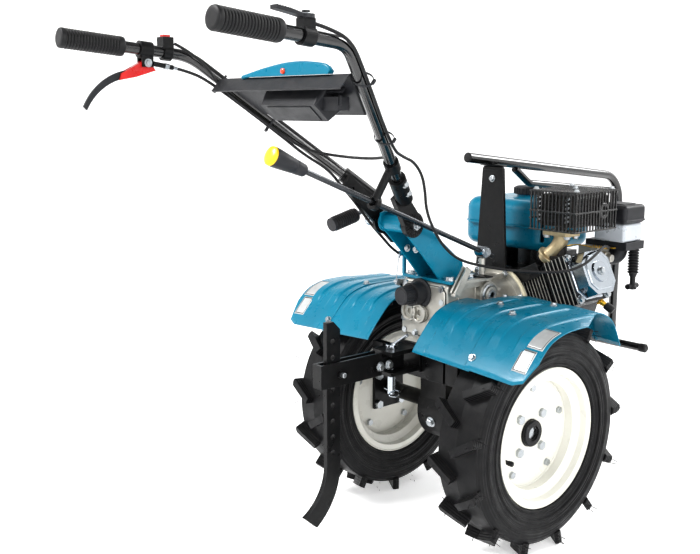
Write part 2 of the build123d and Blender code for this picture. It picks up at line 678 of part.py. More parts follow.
def make_engine():
    """Single-cylinder engine, from the crankcase out to the air cleaner."""
    front = 292
    case = block((-84, 62), (ENGINE_REAR, front), (338, 505))
    case = fillet(case.edges().filter_by(Axis.Y), 14)
    case += block((-100, 100), (ENGINE_REAR + 8, front), (330, 340))
    for x in (-60, 40):
        case += block((x - 8, x + 8), (210, 270), (500, 556.8))
    lean = Pos(62, BORE_Y, 462) * Rot(0, -LEAN, 0)
    barrel = block((-20, 84), (-50, 50), (-52, 46))
    for x in lined(12, 76, 9):
        barrel -= block((x - 2, x + 2), (-60, 60), (-60, -34))
        barrel -= block((x - 2, x + 2), (-60, -34), (-60, 60))
        barrel -= block((x - 2, x + 2), (34, 60), (-60, 60))
    write("crankcase", case + lean * barrel)
    head = block((84.2, 140), (-54, 54), (-54, 50))
    for x in lined(92, 132, 5):
        head -= block((x - 2, x + 2), (-60, 60), (-60, -38))
        head -= block((x - 2, x + 2), (-60, -38), (-60, 60))
    write("cylinder_head", lean * head)
    cover = chamfer(block((140.2, 172), (-46, 46), (-46, 44)).edges().filter_by(Axis.X), 20)
    cover += along_x(171, 178, 0, -1, 22)
    write("rocker_cover", lean * cover)

    housing = along_y(front + 0.2, 352, 0, CRANK_Z, 104)
    housing += block((-104, 60), (front + 0.2, 340), (CRANK_Z, 548))
    housing += along_y(351, 386, 0, CRANK_Z, 92) + along_y(385, 394, 0, CRANK_Z, 60)
    write("starter_housing", housing)

    tank = block((-150, 84), (184, 362), (557, 664))
    tank = fillet(tank.edges().filter_by(Axis.Z), 34)
    tank = fillet(tank.edges().group_by(Axis.Z)[-1], 26)
    tank = fillet(tank.edges().group_by(Axis.Z)[0], 22)
    tank += block((-120, 60), (174, 372), (608, 611))
    tank -= soft_block((-146, 80), (188, 358), (561, 660), 20)
    tank += along_z(660, 668, -53, 300, 24)
    write("fuel_tank", tank)
    write("fuel_cap", along_z(668.3, 688, -53, 300, 30))

    can = soft_block((101, 199), (132, 258), (624, 690), 14)
    can += rod((140, 170, 556), (140, 170, 630), 13)
    can -= block((106, 194), (137, 253), (629, 685))
    can += block((118, 162), (148, 192), (552, 561))
    can -= lean * block((60, 141), (-54, 54), (-54, 51))
    write("muffler", can)
    shell = block((94, 206), (124, 266), (619, 697))
    shell = fillet(shell.edges().filter_by(Axis.Y), 12)
    shell -= block((97, 203), (127, 263), (600, 694))
    for y in lined(136, 254, 11):
        shell -= block((206 - 8, 210), (y - 3, y + 3), (630, 680))
        shell -= block((112, 188), (y - 3, y + 3), (690, 700))
    for x in lined(108, 192, 8):
        shell -= block((x - 3, x + 3), (120, 130), (634, 680))
    write("muffler_guard", shell)

    write("air_cleaner_bowl", soft_block((134, 210), (294, 364), (582.2, 621), 6))
    write("air_cleaner_lid", soft_block((130, 214), (290, 368), (621.2, 661), 9))
    carb = block((112, 160), (272, 318), (522, 570)) + along_z(494, 522, 136, 295, 19)
    carb += block((112, 212), (300, 366), (566, 582))
    carb -= lean * block((60, 141), (-54, 54), (-54, 51))
    write("carburettor", carb)
    bed = block((-62, 62), (52, 300), (318, 329.8)) + block((-20, 20), (300, 575.5), (318, 329.8))
    write("engine_bed", bed)


def make_guard():
    """Tubular bumper over the engine, its stay plate and the front stand bar."""
    rear = (0, 33, 763)
    corner = (0, 587, 698)
    foot = (0, 587, 282)
    hoop = pipe([rear, corner, foot], 70, GUARD_R, GUARD_R - 2)
    hoop += rod(rear, along(rear, corner, 3), GUARD_R)
    hoop += along_x(-98, 98, 587, 281, 10)
    low_start = (0, 185, 733.5)
    hoop += pipe([low_start, (0, 235, 700), (0, 585, 662)], 28, 8)
    write("guard_hoop", hoop)
    plate = face_plate([(-41, 525), (41, 525), (28, 738), (-28, 738)], 112, 118)
    plate += block((-41, 41), (112, 134), (525, 530))
    plate -= rod(rear, corner, GUARD_R + 0.1)
    write("guard_stay", plate)


# ---------------------------------------------------------------- build


def main():
    """Make every part in turn."""
    os.makedirs("parts", exist_ok=True)
    make_wheels()
    make_cases()
    make_selector()
    make_rear_hitch()
    make_stake()
    make_column()
    make_handlebar()
    make_rod_guide()
    make_console()
    make_hand_controls()
    make_gear_rod()
    make_clamp_lever()
    make_cables()
    make_fenders()
    make_engine()
    make_guard()


main()
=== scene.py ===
"""Looks of a two-wheel walking tractor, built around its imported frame.

Working numbers are millimetres from a datum on the ground under the middle of the axle:
X to the machine's right, Y forward to the engine, Z up. Workshop.point turns them into
the frame's metres.
"""

import json
import logging
import math
import random
from dataclasses import dataclass, field
from enum import Enum
from typing import Iterable, Optional, Sequence

import bmesh
import bpy
from mathutils import Matrix, Vector

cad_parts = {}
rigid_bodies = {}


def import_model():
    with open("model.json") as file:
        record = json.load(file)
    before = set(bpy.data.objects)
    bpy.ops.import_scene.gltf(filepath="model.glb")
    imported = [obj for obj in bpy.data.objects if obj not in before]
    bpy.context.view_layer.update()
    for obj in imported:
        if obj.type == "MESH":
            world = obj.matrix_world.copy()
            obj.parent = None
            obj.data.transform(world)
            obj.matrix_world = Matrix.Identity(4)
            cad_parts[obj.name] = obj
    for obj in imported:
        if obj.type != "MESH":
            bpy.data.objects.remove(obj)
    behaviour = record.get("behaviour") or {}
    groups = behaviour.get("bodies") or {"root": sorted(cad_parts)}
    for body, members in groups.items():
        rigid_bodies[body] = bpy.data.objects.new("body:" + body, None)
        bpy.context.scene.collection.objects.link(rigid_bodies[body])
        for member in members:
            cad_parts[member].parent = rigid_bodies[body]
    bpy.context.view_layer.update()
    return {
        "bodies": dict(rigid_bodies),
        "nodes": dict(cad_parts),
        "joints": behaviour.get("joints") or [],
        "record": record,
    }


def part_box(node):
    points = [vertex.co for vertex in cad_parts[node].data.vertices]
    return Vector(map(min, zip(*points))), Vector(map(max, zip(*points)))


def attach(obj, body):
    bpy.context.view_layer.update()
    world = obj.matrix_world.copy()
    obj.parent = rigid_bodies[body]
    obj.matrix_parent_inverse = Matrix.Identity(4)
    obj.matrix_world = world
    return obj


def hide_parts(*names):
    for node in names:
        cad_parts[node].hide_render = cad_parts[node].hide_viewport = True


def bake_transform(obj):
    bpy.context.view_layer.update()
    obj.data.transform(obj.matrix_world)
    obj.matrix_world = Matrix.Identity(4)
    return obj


LOG = logging.getLogger("walking_tractor")
# Height of the crankshaft, in working millimetres.
CRANK_Z = 437.0
Point = Sequence[float]
Socket = bpy.types.NodeSocket


class Body(str, Enum):
    """The frame's moving bodies that pieces ride on."""

    CHASSIS = "chassis"
    WHEELS = "wheels"
    HANDLEBAR = "handlebar"
    LOCK_LEVER = "lock_lever"
    CLUTCH_LEVER = "clutch_lever"
    CLUTCH_ARM = "clutch_arm"
    THROTTLE = "throttle_lever"
    SWIVEL = "rod_swivel"
    GEAR_ROD = "gear_rod"
    DRAW_BAR = "draw_bar"
    PIN = "hitch_pin"
    STAKE = "drag_stake"
    CAP = "fuel_cap"


class Slot(str, Enum):
    """The record's material slots."""

    TYRE = "tyre"
    WHITE = "white_paint"
    BLACK = "black_paint"
    TUBE = "black_tube_paint"
    STEEL = "steel"
    CAST = "cast_aluminium"
    CHROME = "chrome"
    TEAL = "teal_paint"
    PLASTIC = "black_plastic"
    RUBBER = "black_rubber"
    RED = "red_plastic"
    CLEAR = "clear_plastic"
    STARTER = "starter_enamel"
    EXHAUST = "exhaust_steel"
    GUARD = "guard_enamel"


def linear(code: str) -> tuple[float, float, float, float]:
    """Turn an sRGB hex colour into linear light.

    Args:
        code: Six hex digits.

    Returns:
        Red, green, blue and an alpha of one.
    """
    parts = [int(code[i : i + 2], 16) / 255 for i in (0, 2, 4)]
    light = [p / 12.92 if p <= 0.04045 else ((p + 0.055) / 1.055) ** 2.4 for p in parts]
    return (light[0], light[1], light[2], 1.0)


def add_node(
    tree: bpy.types.NodeTree,
    kind: str,
    settings: Optional[dict] = None,
    links: Optional[dict] = None,
) -> bpy.types.Node:
    """Add one shader node.

    Args:
        tree: The material's node tree.
        kind: The node's type name.
        settings: Values by socket name or index, or by ".property".
        links: Source sockets by the name or index of the socket they feed.

    Returns:
        The new node.
    """
    made = tree.nodes.new(kind)
    for key, value in (settings or {}).items():
        if isinstance(key, str) and key.startswith("."):
            setattr(made, key[1:], value)
    for key, value in (settings or {}).items():
        if not (isinstance(key, str) and key.startswith(".")):
            made.inputs[key].default_value = value
    for key, source in (links or {}).items():
        tree.links.new(source, made.inputs[key])
    return made


def pitch(millimetres: float) -> float:
    """Noise scale, in cells a metre, that gives a pattern of this size."""
    return 1000.0 / millimetres


@dataclass(frozen=True)
class Finish:
    """One real finish: a base, its mottling, its grain and the wear on its edges."""

    name: str
    colour: str
    second: str
    roughness: float
    rough_spread: float = 0.08
    metallic: float = 0.0
    mottle_mm: float = 60.0
    mottle: float = 0.5
    grain_mm: float = 1.6
    grain_depth: float = 0.05
    brushed: bool = False
    rings_mm: float = 0.0
    coat: float = 0.0
    coat_roughness: float = 0.12
    edge: str = ""
    edge_share: float = 0.0
    dust: float = 0.0
    dust_colour: str = "A89F90"
    transmission: float = 0.0
    sheen: float = 0.0
    specular: float = 0.5
    round_mm: float = 0.8

    def build(self) -> bpy.types.Material:
        """Build the material's nodes.

        Returns:
            The finished material.
        """
        made = bpy.data.materials.new(self.name)
        made.use_nodes = True
        tree = made.node_tree
        shader = tree.nodes["Principled BSDF"]
        where = add_node(tree, "ShaderNodeTexCoord").outputs["Object"]
        colour = self.mottled(tree, where)
        rough = self.roughened(tree, where)
        rounded = add_node(
            tree, "ShaderNodeBevel", {".samples": 4, "Radius": self.round_mm / 1000}
        ).outputs["Normal"]
        if self.edge:
            colour, rough = self.worn(tree, where, rounded, colour, rough)
        if self.dust > 0:
            colour, rough = self.dusted(tree, where, colour, rough)
        tree.links.new(colour, shader.inputs["Base Color"])
        tree.links.new(rough, shader.inputs["Roughness"])
        tree.links.new(self.grained(tree, where, rounded), shader.inputs["Normal"])
        shader.inputs["Metallic"].default_value = self.metallic
        shader.inputs["Coat Weight"].default_value = self.coat
        shader.inputs["Coat Roughness"].default_value = self.coat_roughness
        shader.inputs["Transmission Weight"].default_value = self.transmission
        shader.inputs["Sheen Weight"].default_value = self.sheen
        shader.inputs["Specular IOR Level"].default_value = self.specular
        return made

    def mottled(self, tree: bpy.types.NodeTree, where: Socket) -> Socket:
        """Mix the two colours in soft patches.

        Args:
            tree: The node tree.
            where: Object coordinates.

        Returns:
            The colour socket.
        """
        cloud = add_node(
            tree,
            "ShaderNodeTexNoise",
            {"Scale": pitch(self.mottle_mm), "Detail": 5.0, "Roughness": 0.6},
            {"Vector": where},
        )
        share = add_node(
            tree,
            "ShaderNodeMapRange",
            {"From Min": 0.35, "From Max": 0.68, "To Min": 0.0, "To Max": self.mottle},
            {"Value": cloud.outputs[0]},
        )
        mix = add_node(
            tree,
            "ShaderNodeMix",
            {".data_type": "RGBA", 6: linear(self.colour), 7: linear(self.second)},
            {0: share.outputs[0]},
        )
        return mix.outputs[2]

    def roughened(self, tree: bpy.types.NodeTree, where: Socket) -> Socket:
        """Vary the roughness in smears about a hand wide.

        Args:
            tree: The node tree.
            where: Object coordinates.

        Returns:
            The roughness socket.
        """
        smear = add_node(
            tree,
            "ShaderNodeTexNoise",
            {"Scale": pitch(26.0), "Detail": 4.0},
            {"Vector": where},
        )
        out = add_node(
            tree,
            "ShaderNodeMapRange",
            {
                "From Min": 0.3,
                "From Max": 0.7,
                "To Min": max(0.02, self.roughness - self.rough_spread),
                "To Max": self.roughness + self.rough_spread,
            },
            {"Value": smear.outputs[0]},
        )
        return out.outputs[0]

    def worn(
        self,
        tree: bpy.types.NodeTree,
        where: Socket,
        rounded: Socket,
        colour: Socket,
        rough: Socket,
    ) -> tuple[Socket, Socket]:
        """Rub the edges lighter, unevenly.

        Args:
            tree: The node tree.
            where: Object coordinates.
            rounded: The rounded normal.
            colour: The colour so far.
            rough: The roughness so far.

        Returns:
            The colour and roughness sockets.
        """
        flat = add_node(tree, "ShaderNodeNewGeometry").outputs["Normal"]
        turn = add_node(
            tree, "ShaderNodeVectorMath", {".operation": "DOT_PRODUCT"}, {0: rounded, 1: flat}
        )
        near = add_node(
            tree,
            "ShaderNodeMapRange",
            {"From Min": 0.995, "From Max": 0.86, "To Min": 0.0, "To Max": self.edge_share},
            {"Value": turn.outputs["Value"]},
        )
        chips = add_node(
            tree,
            "ShaderNodeTexNoise",
            {"Scale": pitch(9.0), "Detail": 6.0, "Roughness": 0.7},
            {"Vector": where},
        )
        broken = add_node(
            tree,
            "ShaderNodeMapRange",
            {"From Min": 0.40, "From Max": 0.62},
            {"Value": chips.outputs[0]},
        )
        share = add_node(
            tree,
            "ShaderNodeMath",
            {".operation": "MULTIPLY"},
            {0: near.outputs[0], 1: broken.outputs[0]},
        ).outputs[0]
        mix = add_node(
            tree,
            "ShaderNodeMix",
            {".data_type": "RGBA", 7: linear(self.edge)},
            {0: share, 6: colour},
        )
        dull = add_node(tree, "ShaderNodeMix", {3: 0.38}, {0: share, 2: rough})
        return mix.outputs[2], dull.outputs[0]

    def dusted(
        self, tree: bpy.types.NodeTree, where: Socket, colour: Socket, rough: Socket
    ) -> tuple[Socket, Socket]:
        """Lay a thin film of dust on what faces up.

        Args:
            tree: The node tree.
            where: Object coordinates.
            colour: The colour so far.
            rough: The roughness so far.

        Returns:
            The colour and roughness sockets.
        """
        flat = add_node(tree, "ShaderNodeNewGeometry").outputs["Normal"]
        parts = add_node(tree, "ShaderNodeSeparateXYZ", {}, {0: flat})
        lift = add_node(
            tree,
            "ShaderNodeMapRange",
            {"From Min": -0.3, "From Max": 1.0, "To Min": 0.15, "To Max": 1.0},
            {"Value": parts.outputs["Z"]},
        )
        cloud = add_node(
            tree,
            "ShaderNodeTexNoise",
            {"Scale": pitch(14.0), "Detail": 7.0, "Roughness": 0.65},
            {"Vector": where},
        )
        thick = add_node(
            tree,
            "ShaderNodeMapRange",
            {"From Min": 0.42, "From Max": 0.75, "To Min": 0.0, "To Max": self.dust},
            {"Value": cloud.outputs[0]},
        )
        share = add_node(
            tree,
            "ShaderNodeMath",
            {".operation": "MULTIPLY"},
            {0: lift.outputs[0], 1: thick.outputs[0]},
        ).outputs[0]
        mix = add_node(
            tree,
            "ShaderNodeMix",
            {".data_type": "RGBA", 7: linear(self.dust_colour)},
            {0: share, 6: colour},
        )
        dull = add_node(tree, "ShaderNodeMix", {3: 0.8}, {0: share, 2: rough})
        return mix.outputs[2], dull.outputs[0]

    def grained(self, tree: bpy.types.NodeTree, where: Socket, rounded: Socket) -> Socket:
        """Add the surface's own grain to the rounded normal.

        Args:
            tree: The node tree.
            where: Object coordinates.
            rounded: The rounded normal.

        Returns:
            The normal socket.
        """
        source = where
        if self.brushed:
            # Stretched twelve times along X, as a belt leaves its scratches.
            source = add_node(
                tree, "ShaderNodeMapping", {"Scale": (0.08, 1.0, 1.0)}, {"Vector": where}
            ).outputs[0]
        grit = add_node(
            tree,
            "ShaderNodeTexNoise",
            {"Scale": pitch(self.grain_mm), "Detail": 3.0, "Roughness": 0.55},
            {"Vector": source},
        )
        bump = add_node(
            tree,
            "ShaderNodeBump",
            {"Strength": 0.6, "Distance": self.grain_depth / 1000},
            {"Height": grit.outputs[0], "Normal": rounded},
        )
        if self.rings_mm <= 0:
            return bump.outputs[0]
        return self.ringed(tree, where, bump.outputs[0])

    def ringed(self, tree: bpy.types.NodeTree, where: Socket, normal: Socket) -> Socket:
        """Mould fine rings round the axle line into the surface.

        Args:
            tree: The node tree.
            where: Object coordinates.
            normal: The normal so far.

        Returns:
            The normal socket.
        """
        low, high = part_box("axle_shaft")
        centre = (low + high) / 2
        moved = add_node(
            tree,
            "ShaderNodeVectorMath",
            {".operation": "SUBTRACT", 1: (0.0, centre.y, centre.z)},
            {0: where},
        )
        flat = add_node(
            tree,
            "ShaderNodeVectorMath",
            {".operation": "MULTIPLY", 1: (0.0, 1.0, 1.0)},
            {0: moved.outputs[0]},
        )
        reach = add_node(
            tree, "ShaderNodeVectorMath", {".operation": "LENGTH"}, {0: flat.outputs[0]}
        ).outputs["Value"]
        wave = add_node(
            tree,
            "ShaderNodeMath",
            {".operation": "SINE"},
            {
                0: add_node(
                    tree,
                    "ShaderNodeMath",
                    {".operation": "MULTIPLY", 1: 2 * math.pi * pitch(self.rings_mm)},
                    {0: reach},
                ).outputs[0]
            },
        )
        bump = add_node(
            tree,
            "ShaderNodeBump",
            {"Strength": 0.5, "Distance": 0.0006},
            {"Height": wave.outputs[0], "Normal": normal},
        )
        return bump.outputs[0]


# Each finish is named for the real material and how its surface was made.
FINISHES: dict[Slot, Finish] = {
    # Moulded natural rubber: near black, bloomed grey in patches, with fine mould rings.
    Slot.TYRE: Finish("moulded_tyre_rubber", "101012", "1B1B1C", 0.46, 0.12, mottle_mm=70,
                      grain_mm=2.2, grain_depth=0.18, rings_mm=5.5, edge="33312F",
                      edge_share=0.45, dust=0.07, dust_colour="6E6A64",
                      specular=0.2, round_mm=1.6),
    # Stoved gloss enamel on pressed steel: warm white, soft reflections, few dust specks.
    Slot.WHITE: Finish("stoved_white_enamel", "E0DFD7", "D4D2C8", 0.30, 0.06, coat=0.35,
                       mottle_mm=120, mottle=0.6, grain_mm=3.0, grain_depth=0.02,
                       edge="C9C5B6", edge_share=0.4, dust=0.10, round_mm=1.4),
    # Satin paint on hot-rolled plate: deep black, scale shows as fine grain, rubbed edges.
    Slot.BLACK: Finish("satin_black_paint_on_plate", "0D0D0E", "17181A", 0.34, 0.09,
                       grain_mm=1.8, grain_depth=0.06, coat=0.08, edge="6A6C6E",
                       edge_share=0.45, dust=0.03, specular=0.2),
    # Powder coat on drawn tube: wet-looking black with a faint orange peel.
    Slot.TUBE: Finish("gloss_black_powder_coat", "08080A", "111214", 0.20, 0.06,
                      grain_mm=2.6, grain_depth=0.035, coat=0.7, coat_roughness=0.08,
                      dust=0.02),
    # Zinc plating, passivated: bright, slightly clouded grey-white metal.
    Slot.STEEL: Finish("passivated_zinc_plate", "B4B8BB", "90969A", 0.30, 0.10, 1.0,
                       mottle_mm=9, grain_mm=0.9, grain_depth=0.03, edge="EFEFEA",
                       edge_share=0.5),
    # Gravity-cast aluminium, shot-blasted: pale, sparkly grain and darker hollows.
    Slot.CAST: Finish("shot_blasted_cast_aluminium", "BDBBB4", "97958E", 0.44, 0.10, 0.85,
                      mottle_mm=22, grain_mm=1.1, grain_depth=0.16, edge="E4E3DE",
                      edge_share=0.8, dust=0.16, dust_colour="6F6A60"),
    # Bright chrome over polished steel: mirror with hairline wipes.
    Slot.CHROME: Finish("bright_chrome_plate", "B4BAC0", "9AA1A8", 0.11, 0.04, 1.0,
                        mottle_mm=40, grain_mm=5.0, grain_depth=0.02, round_mm=1.2),
    # Two-pack gloss on sheet steel: saturated blue-green with thin edges rubbed pale.
    Slot.TEAL: Finish("gloss_blue_green_paint", "00748F", "00637D", 0.30, 0.06,
                      mottle_mm=90, grain_mm=2.8, grain_depth=0.03, coat=0.12,
                      coat_roughness=0.14, edge="2C93AD", edge_share=0.5, dust=0.02,
                      dust_colour="5F8F9B", specular=0.28, round_mm=1.0),
    # Moulded polypropylene with a spark-eroded texture: matt, slightly grey.
    Slot.PLASTIC: Finish("textured_black_polypropylene", "232427", "2B2C30", 0.44, 0.08,
                         grain_mm=1.2, grain_depth=0.12, edge="303235", edge_share=0.35,
                         dust=0.04, specular=0.28),
    # Moulded soft rubber: dull black that takes a grey bloom.
    Slot.RUBBER: Finish("moulded_soft_rubber", "101012", "1C1C1E", 0.52, 0.1,
                        grain_mm=1.4, grain_depth=0.08, edge="2A2A2C", edge_share=0.4,
                        sheen=0.05, dust=0.03, specular=0.3),
    # Glossy moulded nylon: clean red with soft mould flow.
    Slot.RED: Finish("moulded_red_nylon", "C4160F", "A30F0C", 0.28, 0.06, mottle_mm=25,
                     grain_mm=2.0, grain_depth=0.03, coat=0.3, edge="E2604F",
                     edge_share=0.4),
    # Blow-moulded polyethylene: milky white that lets light into its walls.
    Slot.CLEAR: Finish("milky_polyethylene", "CFD4DA", "BFC5CC", 0.30, 0.06,
                       mottle_mm=30, grain_mm=3.0, grain_depth=0.03, coat=0.2,
                       transmission=0.25, dust=0.08),
    # Black enamel on a pressed light-alloy cover: smooth with orange peel.
    Slot.STARTER: Finish("black_enamel_on_alloy", "101113", "1B1D20", 0.30, 0.07,
                         grain_mm=2.4, grain_depth=0.05, coat=0.15, edge="8D9093",
                         edge_share=0.6, dust=0.06, specular=0.25),
    # Mild steel blacked by heat: near black with a dry, mottled surface.
    Slot.EXHAUST: Finish("heat_blacked_steel", "1C1B1A", "2B2825", 0.46, 0.12, 0.5,
                         mottle_mm=26, mottle=0.9, grain_mm=1.3, grain_depth=0.08,
                         edge="6E675C", edge_share=0.5),
    # Heat-proof black enamel, dipped: satin with dull rubbed bars.
    Slot.GUARD: Finish("dipped_heatproof_enamel", "0B0B0C", "191919", 0.36, 0.10,
                       grain_mm=1.6, grain_depth=0.08, coat=0.2, edge="8C8D8C",
                       edge_share=0.55, dust=0.05),
}


@dataclass(frozen=True)
class ExtraFinishes:
    """Small finishes that no record slot has to itself."""

    # Zinc-yellow passivate on small springs and levers: golden, iridescent patches.
    yellow_zinc: Finish = Finish("yellow_passivated_zinc", "D2A83A", "A97F3C", 0.32, 0.1, 0.9,
                                 mottle_mm=6, grain_mm=1.0, grain_depth=0.04)
    # Cast iron pipe tinted by heat: straw to grey-brown, dry and grainy.
    straw: Finish = Finish("heat_tinted_pipe", "B7A888", "8B7C62", 0.40, 0.1, 0.75,
                           mottle_mm=24, mottle=0.9, grain_mm=1.4, grain_depth=0.12,
                           edge="DDD3BC", edge_share=0.5)
    # Moulded yellow cap: clean gloss plastic.
    yellow_cap: Finish = Finish("moulded_yellow_cap", "F2C40E", "D9A90B", 0.34, 0.06,
                                mottle_mm=15, coat=0.3)
    # Vinyl label with an aluminium layer: pale, brushed, dull mirror.
    foil: Finish = Finish("printed_aluminium_foil", "C9CBCB", "B4B6B6", 0.36, 0.06, 0.55,
                          mottle_mm=12, brushed=True, grain_mm=0.9, grain_depth=0.02)
    # Screen-printed ink on foil: flat dark grey.
    ink: Finish = Finish("screen_printed_ink", "2B2D2F", "3A3C3E", 0.55, 0.05, mottle_mm=8)
    # Cream stoving primer left on a turned ring.
    cream: Finish = Finish("cream_primer", "D5CDB4", "B9B096", 0.48, 0.08, mottle_mm=18,
                           grain_mm=1.6, grain_depth=0.08, dust=0.15)
    # Drawn steel rod, oil-blacked: dark grey with a long soft highlight.
    rod: Finish = Finish("oil_blacked_rod", "4A4C4F", "3A3B3D", 0.26, 0.06, 0.9, mottle_mm=30,
                         grain_mm=2.0, grain_depth=0.03, edge="8A8C8E", edge_share=0.4)
    # Orange anodised tab.
    orange: Finish = Finish("orange_paint", "D9651E", "B94F16", 0.38, 0.06, mottle_mm=10)
    # Red lamp lens, moulded acrylic.
    lens: Finish = Finish("red_acrylic_lens", "E8431A", "C93312", 0.16, 0.04, coat=0.6)


class Stock:
    """Mesh stock that pieces are cut from, in working millimetres."""

    def __init__(self) -> None:
        """Start with nothing."""
        self.mesh: bmesh.types.BMesh = bmesh.new()

    def corner(self, at: Point) -> bmesh.types.BMVert:
        """Add one corner."""
        return self.mesh.verts.new(Vector(at))

    def lathe(
        self, start: Point, toward: Point, profile: Iterable[Point], segments: int = 32,
        closed: bool = False,
    ) -> None:
        """Turn a profile round a line.

        Args:
            start: A point on the line.
            toward: The line's direction.
            profile: Distance along the line and radius, in order.
            segments: Facets round the line.
            closed: Whether the profile's end joins its start.
        """
        base, axis = Vector(start), Vector(toward).normalized()
        side = axis.orthogonal().normalized()
        up = axis.cross(side)
        rings = []
        for reach, radius in profile:
            ring = []
            count = 1 if radius < 1e-4 else segments
            for i in range(count):
                angle = 2 * math.pi * i / segments
                out = side * math.cos(angle) + up * math.sin(angle)
                ring.append(self.corner(base + axis * reach + out * radius))
            rings.append(ring)
        pairs = list(zip(rings, rings[1:]))
        if closed:
            pairs.append((rings[-1], rings[0]))
        for one, two in pairs:
            self.band(one, two)
        if not closed:
            for ring, turn in ((rings[0], -1), (rings[-1], 1)):
                if len(ring) > 2:
                    self.mesh.faces.new(ring[::turn])

    def band(self, one: list, two: list) -> None:
        """Join two rings of corners with faces."""
        count = max(len(one), len(two))
        for i in range(count):
            j = (i + 1) % count
            quad = [one[i % len(one)], one[j % len(one)], two[j % len(two)], two[i % len(two)]]
            seen = list(dict.fromkeys(quad))
            if len(seen) > 2:
                self.mesh.faces.new(seen)

    def bar(self, one: Point, two: Point, radius: float, segments: int = 20) -> None:
        """Add a round bar with softened ends."""
        run = Vector(two) - Vector(one)
        soft = min(radius * 0.25, run.length * 0.25)
        profile = [(0, radius - soft), (soft, radius), (run.length - soft, radius)]
        self.lathe(one, run, profile + [(run.length, radius - soft)], segments)

    def tube(self, points: Sequence[Point], radius: float, segments: int = 10) -> None:
        """Sweep a round section along points.

        Args:
            points: The line's points.
            radius: The section's radius.
            segments: Facets round it.
        """
        spots = [Vector(p) for p in points]
        normal = (spots[1] - spots[0]).orthogonal().normalized()
        rings = []
        for i, spot in enumerate(spots):
            ahead = spots[min(i + 1, len(spots) - 1)] - spots[max(i - 1, 0)]
            ahead.normalize()
            normal = (normal - ahead * normal.dot(ahead)).normalized()
            side = ahead.cross(normal)
            ring = []
            for k in range(segments):
                angle = 2 * math.pi * k / segments
                out = normal * math.cos(angle) + side * math.sin(angle)
                ring.append(self.corner(spot + out * radius))
            rings.append(ring)
        for one, two in zip(rings, rings[1:]):
            self.band(one, two)
        self.mesh.faces.new(rings[0][::-1])
        self.mesh.faces.new(rings[-1])

    def slab(self, outline: Sequence[Point], across: Point) -> None:
        """Add a plate: an outline of points in space, and the vector of its thickness."""
        low = [self.corner(p) for p in outline]
        high = [self.corner(Vector(p) + Vector(across)) for p in outline]
        self.mesh.faces.new(low[::-1])
        self.mesh.faces.new(high)
        self.band(low, high)

    def block(self, x: Point, y: Point, z: Point, lean: Optional[Matrix] = None) -> None:
        """Add a box between two values on each axis, moved by lean if it is given."""
        turn = lean or Matrix.Identity(4)
        outline = [(x[0], y[0]), (x[1], y[0]), (x[1], y[1]), (x[0], y[1])]
        low = [turn @ Vector((a, b, z[0])) for a, b in outline]
        across = turn @ Vector((x[0], y[0], z[1])) - low[0]
        self.slab(low, across)

    def hexagon(self, at: Point, toward: Point, flat: float, high: float) -> None:
        """Add a hexagon head with a chamfered top on a washer."""
        corner = flat / math.sqrt(3)
        self.lathe(at, toward, [(0, corner * 1.32), (1.6, corner * 1.3)], 24)
        profile = [(1.6, corner), (high - 1.2, corner), (high, corner * 0.86)]
        self.lathe(at, toward, profile, 6)

    def grid(self, rows: Sequence[Sequence[Point]]) -> None:
        """Add a sheet of quads through rows of points."""
        made = [[self.corner(p) for p in row] for row in rows]
        for one, two in zip(made, made[1:]):
            for i in range(len(one) - 1):
                self.mesh.faces.new([one[i], one[i + 1], two[i + 1], two[i]])


def eased(points: Sequence[Point], steps: int = 8) -> list[Vector]:
    """Points on a smooth line through the given ones.

    Args:
        points: The points that the line passes.
        steps: Points for each stretch.

    Returns:
        The line's points.
    """
    spots = [Vector(p) for p in points]
    out = []
    for i in range(len(spots) - 1):
        before, after = spots[max(i - 1, 0)], spots[min(i + 2, len(spots) - 1)]
        a, b = spots[i], spots[i + 1]
        for k in range(steps):
            t = k / steps
            pull = (b - before) * 0.5
            push = (after - a) * 0.5
            h = 2 * t**3 - 3 * t**2 + 1, t**3 - 2 * t**2 + t, -2 * t**3 + 3 * t**2, t**3 - t**2
            out.append(a * h[0] + pull * h[1] + b * h[2] + push * h[3])
    return out + [spots[-1]]


